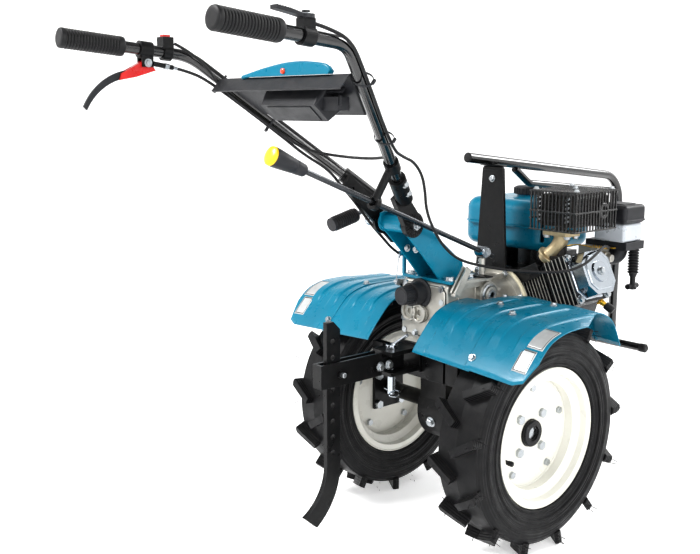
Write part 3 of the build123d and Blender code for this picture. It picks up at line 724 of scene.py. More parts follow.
@dataclass
class Workshop:
    """Turns stock into dressed pieces that ride on the frame."""

    frame: dict
    shift: float = 0.0
    paints: dict = field(default_factory=dict)
    extras: ExtraFinishes = field(default_factory=ExtraFinishes)

    def open(self) -> None:
        """Find the datum under the axle and mix every finish."""
        low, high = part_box("axle_shaft")
        self.shift = (low.y + high.y) / 2
        for finish in FINISHES.values():
            self.mixed(finish)

    def point(self, at: Point) -> Vector:
        """Turn working millimetres into the frame's metres."""
        return Vector((at[0] / 1000, at[1] / 1000 + self.shift, at[2] / 1000))

    def mixed(self, finish: Finish) -> bpy.types.Material:
        """The material of an extra finish, built once."""
        if finish.name not in self.paints:
            self.paints[finish.name] = finish.build()
        return self.paints[finish.name]

    def piece(
        self, name: str, stock: Stock, slot: Slot, body: Body, bevel: float = 0.0,
        extra: Optional[Finish] = None, sheet: float = 0.0, smooth: int = 0,
    ) -> bpy.types.Object:
        """Make one dressed piece.

        Args:
            name: The piece's name.
            stock: Its mesh in working millimetres.
            slot: The record slot it is finished from.
            body: The body it rides on.
            bevel: Width of its rounded edges, in millimetres.
            extra: A finish other than the slot's own.
            sheet: Thickness given to an open sheet, in millimetres.
            smooth: Levels of subdivision.

        Returns:
            The new object.
        """
        bmesh.ops.recalc_face_normals(stock.mesh, faces=stock.mesh.faces[:])
        for vert in stock.mesh.verts:
            vert.co = self.point(vert.co)
        for face in stock.mesh.faces:
            face.smooth = True
        for edge in stock.mesh.edges:
            if len(edge.link_faces) == 2 and edge.calc_face_angle() > math.radians(32):
                edge.smooth = False
        data = bpy.data.meshes.new(name)
        stock.mesh.to_mesh(data)
        stock.mesh.free()
        made = bpy.data.objects.new(name, data)
        bpy.context.scene.collection.objects.link(made)
        data.materials.append(self.mixed(extra or FINISHES[slot]))
        if sheet:
            thick = made.modifiers.new("gauge", "SOLIDIFY")
            thick.thickness = sheet / 1000
            thick.offset = 0.0
        if bevel:
            soft = made.modifiers.new("edges", "BEVEL")
            soft.width = bevel / 1000
            soft.segments = 2
            soft.limit_method = "ANGLE"
            soft.angle_limit = math.radians(38)
        if smooth:
            round_off = made.modifiers.new("smooth", "SUBSURF")
            round_off.levels = round_off.render_levels = smooth
        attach(made, body.value)
        LOG.info("%s: %d faces on %s", name, len(data.polygons), body.value)
        return made

    def dress(self) -> None:
        """Give every node of the frame the finish of its slot, save the gear rod, crankcase and
        cylinder head, which take their own.
        """
        for row in self.frame["record"]["subparts"]:
            node = self.frame["nodes"][row["node"]]
            enamel = FINISHES[Slot.STARTER]
            own = {"gear_rod": self.extras.rod, "crankcase": enamel, "cylinder_head": enamel}
            finish = own.get(row["node"], FINISHES[Slot(row["material_slot"])])
            node.data.materials.clear()
            node.data.materials.append(self.mixed(finish))
            LOG.info("%s dressed in %s", row["node"], row["material_slot"])


@dataclass
class Studio:
    """Pale seamless floor, soft lights and the camera."""

    shop: Workshop
    eye: Point = (1312.06, -1426.30, 864.77)
    azimuth: float = 49.098
    elevation: float = 10.2685
    lens: float = 48.13
    floor_glow: float = 0.36

    def build(self) -> None:
        """Set the camera, then the floor and the lights."""
        self.camera()
        self.floor()
        self.lamp("key", (-1300, -2300, 3000), 1.1, 118)
        self.lamp("fill", (3200, -700, 1700), 1.5, 46)
        self.lamp("back", (900, 2900, 2700), 1.4, 70)
        world = bpy.data.worlds.new("studio")
        world.use_nodes = True
        world.node_tree.nodes["Background"].inputs[0].default_value = (1, 1, 1, 1)
        world.node_tree.nodes["Background"].inputs[1].default_value = 0.36
        bpy.context.scene.world = world
        bpy.context.scene.view_settings.view_transform = "Standard"
        bpy.context.scene.view_settings.look = "Medium High Contrast"

    def camera(self) -> None:
        """Place the camera at the working angle."""
        a, e = math.radians(self.azimuth), math.radians(self.elevation)
        look = Vector((-math.sin(a) * math.cos(e), math.cos(a) * math.cos(e), -math.sin(e)))
        data = bpy.data.cameras.new("camera")
        data.lens = self.lens
        made = bpy.data.objects.new("camera", data)
        made.location = self.shop.point(self.eye)
        made.rotation_mode = "QUATERNION"
        made.rotation_quaternion = look.to_track_quat("-Z", "Y")
        bpy.context.scene.collection.objects.link(made)
        bpy.context.scene.camera = made

    def floor(self) -> None:
        """A flat floor that curves up into a far white wall all round."""
        stock = Stock()
        profile = [(0, 0.0), (0, 6000.0)]
        profile += [
            (2000 - 2000 * math.cos(math.radians(t)), 6000 + 2000 * math.sin(math.radians(t)))
            for t in range(6, 91, 6)
        ]
        profile += [(5200, 8000.0)]
        stock.lathe((0, 0, 0), (0, 0, 1), profile, 96)
        top = [f for f in stock.mesh.faces if len(f.verts) > 4]
        bmesh.ops.delete(stock.mesh, geom=top, context="FACES_ONLY")
        data = bpy.data.meshes.new("floor")
        for vert in stock.mesh.verts:
            vert.co = self.shop.point(vert.co)
        for face in stock.mesh.faces:
            face.smooth = True
            face.normal_flip()
        stock.mesh.to_mesh(data)
        stock.mesh.free()
        made = bpy.data.objects.new("floor", data)
        paper = Finish("matt_white_paper", "F7F7F7", "F4F4F4", 0.85, 0.02, grain_depth=0.0,
                       mottle_mm=900, specular=0.1).build()
        # Lit from under, as a backlit table is, so that it stays white.
        shader = paper.node_tree.nodes["Principled BSDF"]
        shader.inputs["Emission Color"].default_value = (1, 1, 1, 1)
        shader.inputs["Emission Strength"].default_value = self.floor_glow
        data.materials.append(paper)
        bpy.context.scene.collection.objects.link(made)

    def lamp(self, name: str, at: Point, size: float, power: float) -> None:
        """Hang one soft square lamp that faces the machine.

        Args:
            name: The lamp's name.
            at: Its place in working millimetres.
            size: Its side in metres.
            power: Watts.
        """
        data = bpy.data.lights.new(name, "AREA")
        data.size = size
        data.energy = power
        made = bpy.data.objects.new(name, data)
        made.location = self.shop.point(at)
        aim = self.shop.point((0, -60, 450)) - made.location
        made.rotation_mode = "QUATERNION"
        made.rotation_quaternion = aim.to_track_quat("-Z", "Y")
        bpy.context.scene.collection.objects.link(made)


@dataclass
class ControlCables:
    """The three sheathed cables, each one smooth line from end to end."""

    shop: Workshop
    radius: float = 2.75
    bar_low: Point = (50.0, -200.0, 700.0)
    bar_bend: Point = (224.0, -489.0, 958.0)

    def bar(self, distance: float) -> Vector:
        """A point on the right tube's straight run."""
        low, bend = Vector(self.bar_low), Vector(self.bar_bend)
        return low + (bend - low).normalized() * distance

    def under(self, distance: float) -> Vector:
        """A point just below the left tube."""
        at = self.bar(distance)
        return Vector((-at.x, at.y - 9.9, at.z - 11.1))

    def beside(self, distance: float) -> Vector:
        """A point below the left tube on the inner side of the clutch cable."""
        return self.under(distance) + Vector((5.7, -1.9, 1.7))

    def outside(self, distance: float) -> Vector:
        """A point on the outer side of the right tube."""
        at = self.bar(distance)
        return at + Vector((13.3, 4.45, -3.97))

    def build(self) -> None:
        """Lay the clutch cable, the stop wire and the throttle cable."""
        clutch = [(-218, -527, 935.8), (-217, -500, 931), self.under(370), self.under(196)]
        clutch += [(-107, -315, 777), (-82, -274, 748), (-67, -254, 716), (-62, -220, 680)]
        clutch += [(-58, -188, 640), (-60, -148, 604), (-64, -120, 580), (-66, -98, 568)]
        self.lay("clutch_cable", clutch, 0.606, True, (-67, -254, 716), (-64, -120, 580))
        wire = [(-218, -523.6, 979), (-206, -500, 966), (-190, -468, 934)]
        wire += [self.beside(350), self.beside(206), (-104, -318, 788), (-82, -282, 777)]
        wire += [(-46, -258, 772), (-4, -252, 771), (40, -260, 773), (80, -278, 777)]
        self.lay("stop_wire", wire, 0.523, False)
        throttle = [(229, -558.5, 984), (233, -532, 978), (243, -498, 962)]
        throttle += [self.outside(378), self.outside(160), (114, -262, 778), (99, -222, 768)]
        throttle += [(93, -194, 742), (91, -184, 710), (90, -180, 680), (88, -164, 648)]
        throttle += [(86, -130, 604), (90, -88, 572), (118, -48, 559), (158, -10, 551)]
        throttle += [(196, 40, 547), (218, 92, 546), (226, 136, 556), (222, 182, 574)]
        throttle += [(206, 228, 582), (188, 266, 576), (173, 298.5, 568)]
        self.lay("throttle_cable", throttle, 1.128, True, (93, -194, 742), (90, -88, 572))

    def lay(
        self, name: str, route: Sequence[Point], length: float, crosses: bool,
        start: Point = (0, 0, 0), end: Point = (0, 0, 0),
    ) -> None:
        """Lay one cable along its route.

        Args:
            name: The cable's name.
            route: Its control points.
            length: Its length in metres.
            crosses: Whether it runs on from the handlebar to the chassis.
            start: Meant as where it starts to follow the chassis; not used.
            end: Meant as where it follows the chassis only; not used.
        """
        curve = bpy.data.curves.new(name + "_line", "CURVE")
        curve.dimensions = "3D"
        spline = curve.splines.new("NURBS")
        spline.points.add(len(route) - 1)
        for spot, at in zip(spline.points, route):
            spot.co = (*self.shop.point(at), 1.0)
        spline.order_u = 3
        spline.use_endpoint_u = True
        curve.resolution_u = 8
        holder = bpy.data.objects.new(name + "_line", curve)
        line = bpy.data.meshes.new_from_object(holder)
        curve.bevel_depth = self.radius / 1000
        curve.bevel_resolution = 3
        curve.use_fill_caps = True
        data = bpy.data.meshes.new_from_object(holder)
        data.name = name
        for face in data.polygons:
            face.use_smooth = True
        made = bpy.data.objects.new(name, data)
        bpy.context.scene.collection.objects.link(made)
        bpy.data.objects.remove(holder)
        data.materials.clear()
        data.materials.append(self.shop.mixed(FINISHES[Slot.RUBBER]))
        if crosses:
            self.shop.point(start)
            self.shop.point(end)
            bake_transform(made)
        else:
            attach(made, Body.HANDLEBAR.value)
        if name == "clutch_cable":
            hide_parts("control_cables")
        LOG.info("%s: %.0f mm", name, 1000 * length)


@dataclass
class Wheels:
    """Rubber and steel details of the two driven wheels."""

    shop: Workshop
    axle: float = 232.0
    track: float = 207.5
    lugs: int = 13
    seed: int = 7

    def build(self) -> None:
        """Build the details of both wheels."""
        self.whiskers()
        self.sidewall_rings()
        self.valves()
        self.rim_welds()
        self.cross_pins()
        self.axle_ends()

    def spin(self, at: Point, degrees: float) -> Vector:
        """Turn a wheel point given at the top about the axle, and lift it to the axle."""
        a = math.radians(degrees)
        x, y, z = at
        return Vector((x, y * math.cos(a) - z * math.sin(a),
                       y * math.sin(a) + z * math.cos(a) + self.axle))

    def whiskers(self) -> None:
        """The thin rubber threads that the mould's vents leave on the lugs."""
        stock = Stock()
        chance = random.Random(self.seed)
        for wheel in (1, -1):
            centre = wheel * self.track
            for side in (1, -1):
                for i in range(self.lugs):
                    turn = 360 / self.lugs * (i + (0.5 if side < 0 else 0.0))
                    reach = 2.0 if side == wheel else 0.45
                    for x, y, z, dx, dz in ((52, 12, 228, 8, 3), (50, 21, 222, 9, 1),
                                            (40, 6, 231, 2, 8), (53, 18, 212, 9, -1)):
                        dx *= reach
                        long = chance.uniform(0.7, 1.3)
                        bend = chance.uniform(-4, 4)
                        root = self.spin((side * x, y, z), turn)
                        mid = self.spin((side * (x + dx * 0.5 * long), y + bend * 0.3,
                                         z + dz * 0.5 * long), turn)
                        tip = self.spin((side * (x + dx * long), y + bend, z + dz * long), turn)
                        if min(tip.z, mid.z) < 1.0:
                            continue
                        spots = [p + Vector((centre, 0, 0)) for p in (root, mid, tip)]
                        stock.tube(spots, 0.65, 5)
        self.shop.piece("tyre_vent_threads", stock, Slot.TYRE, Body.WHEELS)

    def sidewall_rings(self) -> None:
        """Raised rim-line and shoulder rings on the four sidewalls."""
        stock = Stock()
        shapes = ([(53.2, 160), (54.6, 161.5), (55.4, 164), (54.2, 166)],
                  [(54.6, 178), (56.0, 180), (56.2, 186), (54.6, 188)],
                  [(46.5, 142.5), (48.2, 144), (49.4, 147), (48.4, 149)])
        for wheel in (1, -1):
            for side in (1, -1):
                for shape in shapes:
                    profile = [(wheel * self.track + side * x, r) for x, r in shape]
                    stock.lathe((0, 0, self.axle), (1, 0, 0), profile, 96, closed=True)
        self.shop.piece("tyre_sidewall_rings", stock, Slot.TYRE, Body.WHEELS)

    def valves(self) -> None:
        """Rubber valve stem with its cap near each rim's edge."""
        stock = Stock()
        for wheel in (1, -1):
            base = self.spin((0, 0, 102), 108)
            start = base + Vector((wheel * (self.track + 2.5), 0, 0))
            profile = [(0, 9), (3, 8), (6, 5), (22, 4.2), (23, 5.2), (31, 5.2), (33, 4)]
            stock.lathe(start, (wheel, 0.25, -0.1), profile, 20)
        self.shop.piece("valve_stems", stock, Slot.RUBBER, Body.WHEELS)

    def rim_welds(self) -> None:
        """Pressed step and weld bead round each rim's disc, and the rolled lip."""
        stock = Stock()
        for wheel in (1, -1):
            for side in (1, -1):
                for x, r, tube in ((2.6, 108.5, 2.2), (45.2, 139.3, 1.6)):
                    ring = [(wheel * self.track + side * x + tube * math.cos(a / 8 * math.tau),
                             r + tube * math.sin(a / 8 * math.tau)) for a in range(8)]
                    stock.lathe((0, 0, self.axle), (1, 0, 0), ring, 96, closed=True)
        self.shop.piece("rim_beads", stock, Slot.WHITE, Body.WHEELS)

    def cross_pins(self) -> None:
        """Pins through the hubs and the axle, each with its spring clip."""
        stock = Stock()
        for wheel in (1, -1):
            x = wheel * 78
            stock.bar((x, 0, self.axle - 27), (x, 0, self.axle + 27), 3.0, 16)
            clip = [(x, -3, self.axle + 22), (x, 8, self.axle + 22), (x, 20, self.axle + 24),
                    (x, 30, self.axle + 19), (x, 24, self.axle + 13), (x, 12, self.axle + 16),
                    (x, 4, self.axle + 17)]
            stock.tube(eased(clip, 5), 1.1, 8)
        self.shop.piece("axle_cross_pins", stock, Slot.CHROME, Body.WHEELS)

    def axle_ends(self) -> None:
        """Chamfered collar round each end of the hexagon shaft."""
        stock = Stock()
        for wheel in (1, -1):
            ring = [(0, 14.5), (0, 25.5), (1.6, 26.4), (3.0, 24.5), (3.0, 15.5)]
            start = (wheel * (self.track + 9), 0, self.axle)
            stock.lathe(start, (wheel, 0, 0), ring, 40, closed=True)
        self.shop.piece("hub_nose_rings", stock, Slot.BLACK, Body.WHEELS)


@dataclass
class Fender:
    """One side's two pressed panels, with ribs, lip, bolts and labels."""

    shop: Workshop
    side: int
    seam: float = 204.0
    inner: float = 64.0
    outer: float = 342.0
    tilt: float = 3.0
    crown: tuple = ((-186, 402), (-160, 433), (-126, 466), (-92, 480), (-55, 485), (12, 485),
                    (80, 482), (130, 474), (178, 446), (214, 392))
    ribs: tuple = (118.0, 172.0, 232.0, 290.0)
    rib_half: float = 11.0
    line: list = field(default_factory=list)

    def __post_init__(self) -> None:
        """Turn the crown into many short runs."""
        spots = eased([(0, y, z) for y, z in self.crown], 8)
        self.line = [(p.y, p.z - 0.6) for p in spots]

    def height(self, x: float, y: float) -> float:
        """Height of the pressed sheet above a spot, ribs left out."""
        line = self.line
        low = 0
        while low < len(line) - 2 and line[low + 1][0] < y:
            low += 1
        (a, za), (b, zb) = line[low], line[low + 1]
        z = za + (zb - za) * (y - a) / (b - a)
        return z - (x - self.inner) * math.tan(math.radians(self.tilt))

    def rib(self, x: float, y: float) -> float:
        """Rise of the pressed ribs: two rounded shoulders with a flat between."""
        rise = 0.0
        for centre in self.ribs:
            edge = abs(x - centre) - self.rib_half
            wide = 1 / (1 + math.exp(max(-20, min(20, edge * 2.2))))
            start = 1 / (1 + math.exp(max(-20, min(20, (-138 - y) / 4.2))))
            stop = 1 / (1 + math.exp(max(-20, min(20, (y - (60 + (centre - 172) * 0.15)) / 2.5))))
            rise = max(rise, wide * start * stop)
        return 3.6 * rise

    def reach(self, x: float) -> tuple[float, float]:
        """Rear and front edges of the sheet at one X.

        Args:
            x: The working X of the cut, on the right side.

        Returns:
            The rear Y and the front Y.
        """
        rear, front = -186.0, 213.5
        if x > self.outer - 32:
            rear = self.between(x, ((310, -186), (330, -180), (342, -152)))
            rear = max(rear, -186.0)
        if x > self.seam:
            front = self.between(x, ((204, 213.5), (266, 213.5), (282, 100), (342, -12)))
        elif x < 112:
            front = self.between(x, ((64, -30), (93.9, -20), (94, 60), (112, 112)))
        else:
            front = 112.0
        return rear, front

    @staticmethod
    def between(x: float, spots: Sequence[Point]) -> float:
        """Read a broken line at x."""
        for (a, va), (b, vb) in zip(spots, spots[1:]):
            if a <= x <= b:
                return va + (vb - va) * (x - a) / (b - a)
        return spots[0][1] if x < spots[0][0] else spots[-1][1]

    def panel(self, low: float, high: float, raise_by: float) -> Stock:
        """Press one panel between two X values."""
        stock = Stock()
        count = int((high - low) / 1.3)
        cuts = sorted({low + (high - low) * i / count for i in range(count + 1)} | {
            c for c in (93.9, 94.0, 112.0, 266.0, 282.0, 310.0, 330.0) if low < c < high})
        rows = []
        for x in cuts:
            rear, front = self.reach(x)
            row = []
            for k in range(73):
                y = rear + (front - rear) * k / 72
                lip = -5.5 * max(0.0, 1 - (y - rear) / 5.0) ** 2
                z = self.height(x, y) + self.rib(x, y) + raise_by + lip * 0.4
                row.append((self.side * x, y, z))
            rows.append(row)
        stock.grid(rows)
        return stock

    def build(self) -> None:
        """Press both panels, bolt them and stick the labels on."""
        word = "right" if self.side > 0 else "left"
        inside = self.shop.piece(f"fender_{word}_inner_pressing",
                                 self.panel(self.inner, self.seam + 6, 0.0), Slot.TEAL,
                                 Body.CHASSIS, sheet=1.8)
        self.stay(word)
        outside = self.shop.piece(f"fender_{word}_outer_pressing",
                                  self.panel(self.seam - 6, self.outer, 2.1), Slot.TEAL,
                                  Body.CHASSIS, sheet=1.8)
        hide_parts(f"fender_{word}_inner")
        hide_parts(f"fender_{word}_outer")
        self.bolts(word)
        self.labels(word)

    def stay(self, word: str) -> None:
        """The bracket that holds the inner panel to the gearbox."""
        stock = Stock()
        s = self.side
        x = (min(s * 62.2, s * 148), max(s * 62.2, s * 148))
        stock.block(x, (-34, 0), (448, 452))
        stock.block((min(s * 130, s * 148), max(s * 130, s * 148)), (-34, 0), (450, 478))
        stock.block((min(s * 62.2, s * 66), max(s * 62.2, s * 66)), (-34, 0), (430, 450))
        stock.hexagon((s * 66, -17, 440), (s, 0, 0), 10, 6)
        self.shop.piece(f"fender_{word}_stay", stock, Slot.TEAL, Body.CHASSIS, bevel=0.8)

    def bolts(self, word: str) -> None:
        """Zinc bolts along the seam and the bracket."""
        stock = Stock()
        spots = ((206, -172), (206, -62), (205, 66), (139, -17), (103, 40))
        for x, y in spots:
            z = self.height(x, y) + (3.2 if x > 195 else 1.2)
            slope = (self.height(x, y + 4) - self.height(x, y - 4)) / 8
            normal = Vector((self.side * 0.05, -slope, 1)).normalized()
            at = Vector((self.side * x, y, z))
            stock.hexagon(at, normal, 10, 6.5)
        self.shop.piece(f"fender_{word}_bolts", stock, Slot.STEEL, Body.CHASSIS)

    def labels(self, word: str) -> None:
        """Two blank foil labels with a printed frame on the outer edge."""
        foil, ink = Stock(), Stock()
        for y0, y1 in ((-172, -140), (-137, -84)):
            x0, x1 = 296.0, 336.0 if y0 > -150 else 328.0
            self.patch(foil, x0, x1, y0, y1, 3.7)
            for a, b, c, d in ((x0 + 2, x1 - 2, y0 + 1.5, y0 + 2.7),
                               (x0 + 2, x1 - 2, y1 - 2.7, y1 - 1.5),
                               (x0 + 2, x0 + 3.2, y0 + 1.5, y1 - 1.5),
                               (x1 - 3.2, x1 - 2, y0 + 1.5, y1 - 1.5)):
                self.patch(ink, a, b, c, d, 4.0)
        extras = self.shop.extras
        self.shop.piece(f"fender_{word}_labels", foil, Slot.STEEL, Body.CHASSIS,
                        extra=extras.foil, sheet=0.3)
        self.shop.piece(f"fender_{word}_label_frames", ink, Slot.PLASTIC, Body.CHASSIS,
                        extra=extras.ink, sheet=0.2)

    def patch(
        self, stock: Stock, x0: float, x1: float, y0: float, y1: float, above: float
    ) -> None:
        """Lay a patch that follows the sheet."""
        rows = []
        for i in range(9):
            x = x0 + (x1 - x0) * i / 8
            ys = [y0 + (y1 - y0) * k / 14 for k in range(15)]
            rows.append([(self.side * x, y, self.height(x, y) + self.rib(x, y) * 0.2 + above)
                         for y in ys])
        stock.grid(rows)


@dataclass
class Gearbox:
    """Cast details, bolts and plugs of the gearbox and the final drive."""

    shop: Workshop
    rear: float = -90.0
    half: float = 62.0

    def build(self) -> None:
        """Build the casing's details."""
        self.webs()
        self.rear_cover()
        self.fasteners()
        self.takeoff()
        self.bell_ring()
        self.top_fittings()
        self.clutch_wire()

    def webs(self) -> None:
        """Cast webs and a rounded side barrel."""
        stock = Stock()
        for s in (1, -1):
            for z in (420, 438, 456, 474):
                wall = [(s * 61, -76, z), (s * 61, 36, z), (s * 65.5, 34, z), (s * 65.5, -74, z)]
                stock.slab(wall, (0, 0, 3.2))
            for y in (-60, -10, 30):
                wall = [(s * 61, y, 408), (s * 61, y, 510), (s * 66, y, 506), (s * 66, y, 414)]
                stock.slab(wall, (0, 3.4, 0))
        for start in (4, 5):
            stock.lathe((0, 48, CRANK_Z), (0, 1, 0), [(start, 70), (start, 77), (start + 8, 77),
                                                    (start + 8, 70)], 56, closed=True)
        self.shop.piece("gearbox_webs", stock, Slot.CAST, Body.CHASSIS, bevel=0.8)
        ribs = Stock()
        for i in range(8):
            a = math.radians(45 * i + 22)
            x, z = math.cos(a), CRANK_Z + 73 * math.sin(a)
            side = Vector((-math.sin(a), 0, math.cos(a))) * 2.2
            out = Vector((x, 0, math.sin(a)))
            base = Vector((73 * x, 62, z))
            corners = [base - side, base + Vector((0, 60, 0)) - side,
                       base + Vector((0, 60, 0)) - side + out * 13, base - side + out * 2]
            ribs.slab(corners, side * 2)
        self.shop.piece("bell_housing_ribs", ribs, Slot.CAST, Body.CHASSIS, bevel=0.8)

    def rear_cover(self) -> None:
        """Rear cover plate with its gasket line and a raised oval boss."""
        cover = Stock()
        outline = [(-56, 404), (56, 404), (60, 412), (60, 500), (52, 512), (-52, 512),
                   (-60, 500), (-60, 412)]
        cover.slab([(x, self.rear, z) for x, z in outline], (0, -4, 0))
        self.shop.piece("gearbox_rear_cover", cover, Slot.CAST, Body.CHASSIS, bevel=1.6)
        gasket = Stock()
        gasket.slab([(x * 1.012, self.rear + 0.8, 458 + (z - 458) * 1.012)
                     for x, z in outline], (0, -1.2, 0))
        self.shop.piece("rear_cover_gasket", gasket, Slot.PLASTIC, Body.CHASSIS)
        boss = Stock()
        ring = [(0, 14), (0, 21), (5, 20), (5, 15)]
        boss.lathe((-34, -98, 452), (0, -1, 0), ring, 36, closed=True)
        boss.lathe((-6, -98, 452), (0, -1, 0), ring, 36, closed=True)
        boss.lathe((30, self.rear - 4, 430), (0, -1, 0), [(0, 17), (7, 15), (9, 12), (9, 0)], 36)
        self.shop.piece("rear_cover_bosses", boss, Slot.CAST, Body.CHASSIS, bevel=0.7)

    def fasteners(self) -> None:
        """Zinc bolts round the rear cover, the sides and the bell flange."""
        stock = Stock()
        for x, z in ((-52, 436), (52, 428), (-20, 408), (20, 408), (0, 508)):
            stock.hexagon((x, self.rear - 4, z), (0, -1, 0), 10, 6)
        for s in (1, -1):
            for y, z in ((-68, 412), (-68, 500), (38, 412), (38, 470), (-15, 408)):
                stock.hexagon((s * 62, y, z), (s, 0, 0), 10, 6)
        for i in range(8):
            a = math.radians(45 * i + 22)
            at = (82 * math.cos(a), 124, CRANK_Z + 82 * math.sin(a))
            stock.hexagon(at, (0, -1, 0), 10, 7)
        for s in (1, -1):
            for i in range(6):
                a = math.radians(60 * i + 15)
                at = (s * 38, 54 * math.cos(a), 232 + 54 * math.sin(a))
                stock.hexagon(at, (s, 0, 0), 10, 6)
        stock.hexagon((0, -64, 214), (0, -1, -0.2), 15, 8)
        self.shop.piece("gearbox_bolts", stock, Slot.STEEL, Body.CHASSIS)

    def takeoff(self) -> None:
        """Flange and grip ribs of the power take-off's black cap, and side plug."""
        stock = Stock()
        stock.lathe((-6, -94, 494), (0, -1, 0), [(0, 30), (4, 30), (6, 26), (6, 22)], 40,
                    closed=True)
        for i in range(20):
            a = math.radians(18 * i)
            base = Vector((-6 + 17.6 * math.cos(a), -125, 494 + 17.6 * math.sin(a)))
            stock.bar(base, base + Vector((0, -23, 0)), 1.5, 8)
        stock.lathe((-6, -149.5, 494), (0, -1, 0), [(0, 15), (1.2, 14), (0.4, 10), (0.4, 0)], 36)
        self.shop.piece("takeoff_cap_ribs", stock, Slot.PLASTIC, Body.CHASSIS)
        plug = Stock()
        plug.lathe((79, 18, 489), (1, 0, 0), [(0, 22), (3, 22), (4, 20), (4, 17)], 40,
                   closed=True)
        plug.lathe((86, 18, 489), (1, 0, 0), [(0, 11), (3, 10), (3, 6), (-1, 5), (-1, 0)], 32)
        self.shop.piece("side_plug", plug, Slot.STEEL, Body.CHASSIS)

    def bell_ring(self) -> None:
        """Cream ring between the bell housing and the engine."""
        stock = Stock()
        ring = [(0, 84), (0, 91), (1.5, 92.5), (7, 92.5), (8, 91), (8, 84)]
        stock.lathe((0, 125.5, CRANK_Z), (0, 1, 0), ring, 72, closed=True)
        self.shop.piece("bell_flange_ring", stock, Slot.CAST, Body.CHASSIS,
                        extra=self.shop.extras.cream)

    def top_fittings(self) -> None:
        """Breather, filler plug, black plate and orange tab on the casing's top."""
        stock = Stock()
        stock.lathe((38, 30, 518), (0, 0, 1), [(0, 9), (3, 9), (3, 6), (11, 6), (12, 8),
                                              (19, 8), (21, 5), (21, 0)], 24)
        stock.lathe((-40, 34, 518), (0, 0, 1), [(0, 11), (3, 11), (3, 8), (8, 8), (9, 0)], 24)
        stock.hexagon((10, 36, 518), (0, 0, 1), 12, 8)
        self.shop.piece("top_fittings", stock, Slot.STEEL, Body.CHASSIS)
        plate = Stock()
        outline = [(26, -20, 527), (96, -8, 527), (96, 10, 527), (26, 14, 527)]
        plate.slab(outline, (0, 0, 2.5))
        self.shop.piece("selector_plate", plate, Slot.BLACK, Body.CHASSIS, bevel=0.6)
        tab = Stock()
        tab.slab([(30, -16, 530), (46, -14, 533), (46, -8, 533), (30, -6, 530)], (0, 0, 1.4))
        self.shop.piece("selector_tab", tab, Slot.RED, Body.CHASSIS,
                        extra=self.shop.extras.orange)
        spring = Stock()
        turns = [(49 + 3.4 * math.cos(t * 0.9), 22 + 3.4 * math.sin(t * 0.9), 520 + t * 0.62)
                 for t in range(64)]
        spring.tube(turns, 0.8, 7)
        self.shop.piece("selector_spring", spring, Slot.CHROME, Body.CHASSIS)

    def clutch_wire(self) -> None:
        """Bare inner wire from the cable's end to the clutch arm."""
        stock = Stock()
        stock.tube([(-66, -98, 569), (-66, -102, 542), (-66, -105.6, 513)], 0.9, 8)
        stock.lathe((-66, -97.6, 572), (0, -0.09, -1), [(0, 3.4), (4, 3.6), (9, 3.6), (14, 1.2)],
                    16)
        self.shop.piece("clutch_inner_wire", stock, Slot.CHROME, Body.CHASSIS)
        nipple = Stock()
        nipple.bar((-71, -106, 510), (-61, -106, 510), 3.4, 16)
        self.shop.piece("clutch_wire_nipple", nipple, Slot.STEEL, Body.CLUTCH_ARM)


@dataclass
class Column:
    """Steering column's small parts: washers, rolled boss and bolts."""

    shop: Workshop
    pivot: Point = (0.0, -165.0, 643.0)

    def build(self) -> None:
        """Build what shows on the column."""
        stock = Stock()
        ring = [(0, 9), (0, 18.6), (1.6, 20), (3.4, 18.8), (3.4, 9)]
        stock.lathe((32, *self.pivot[1:]), (-1, 0, 0), ring, 40, closed=True)
        stock.lathe((-38.4, *self.pivot[1:]), (1, 0, 0), ring, 40, closed=True)
        for s in (1, -1):
            weld = [(s * 30.4, -30 - 3.0 * i, 525.4 + 0.5 * (i % 2)) for i in range(14)]
            stock.tube(weld, 1.9, 8)
        self.shop.piece("column_boss_rings", stock, Slot.TEAL, Body.CHASSIS)
        bolts = Stock()
        for x in (-12, 12):
            bolts.hexagon((x, -126, 588), (0, -0.75, 0.2), 10, 6)
        for s in (1, -1):
            for x, y in ((54, -72), (54, -12)):
                bolts.lathe((s * x, y, 525), (0, 0, 1), [(0, 11.5), (1.6, 11.5), (1.8, 6)], 28)
        self.shop.piece("column_bolts", bolts, Slot.STEEL, Body.CHASSIS)


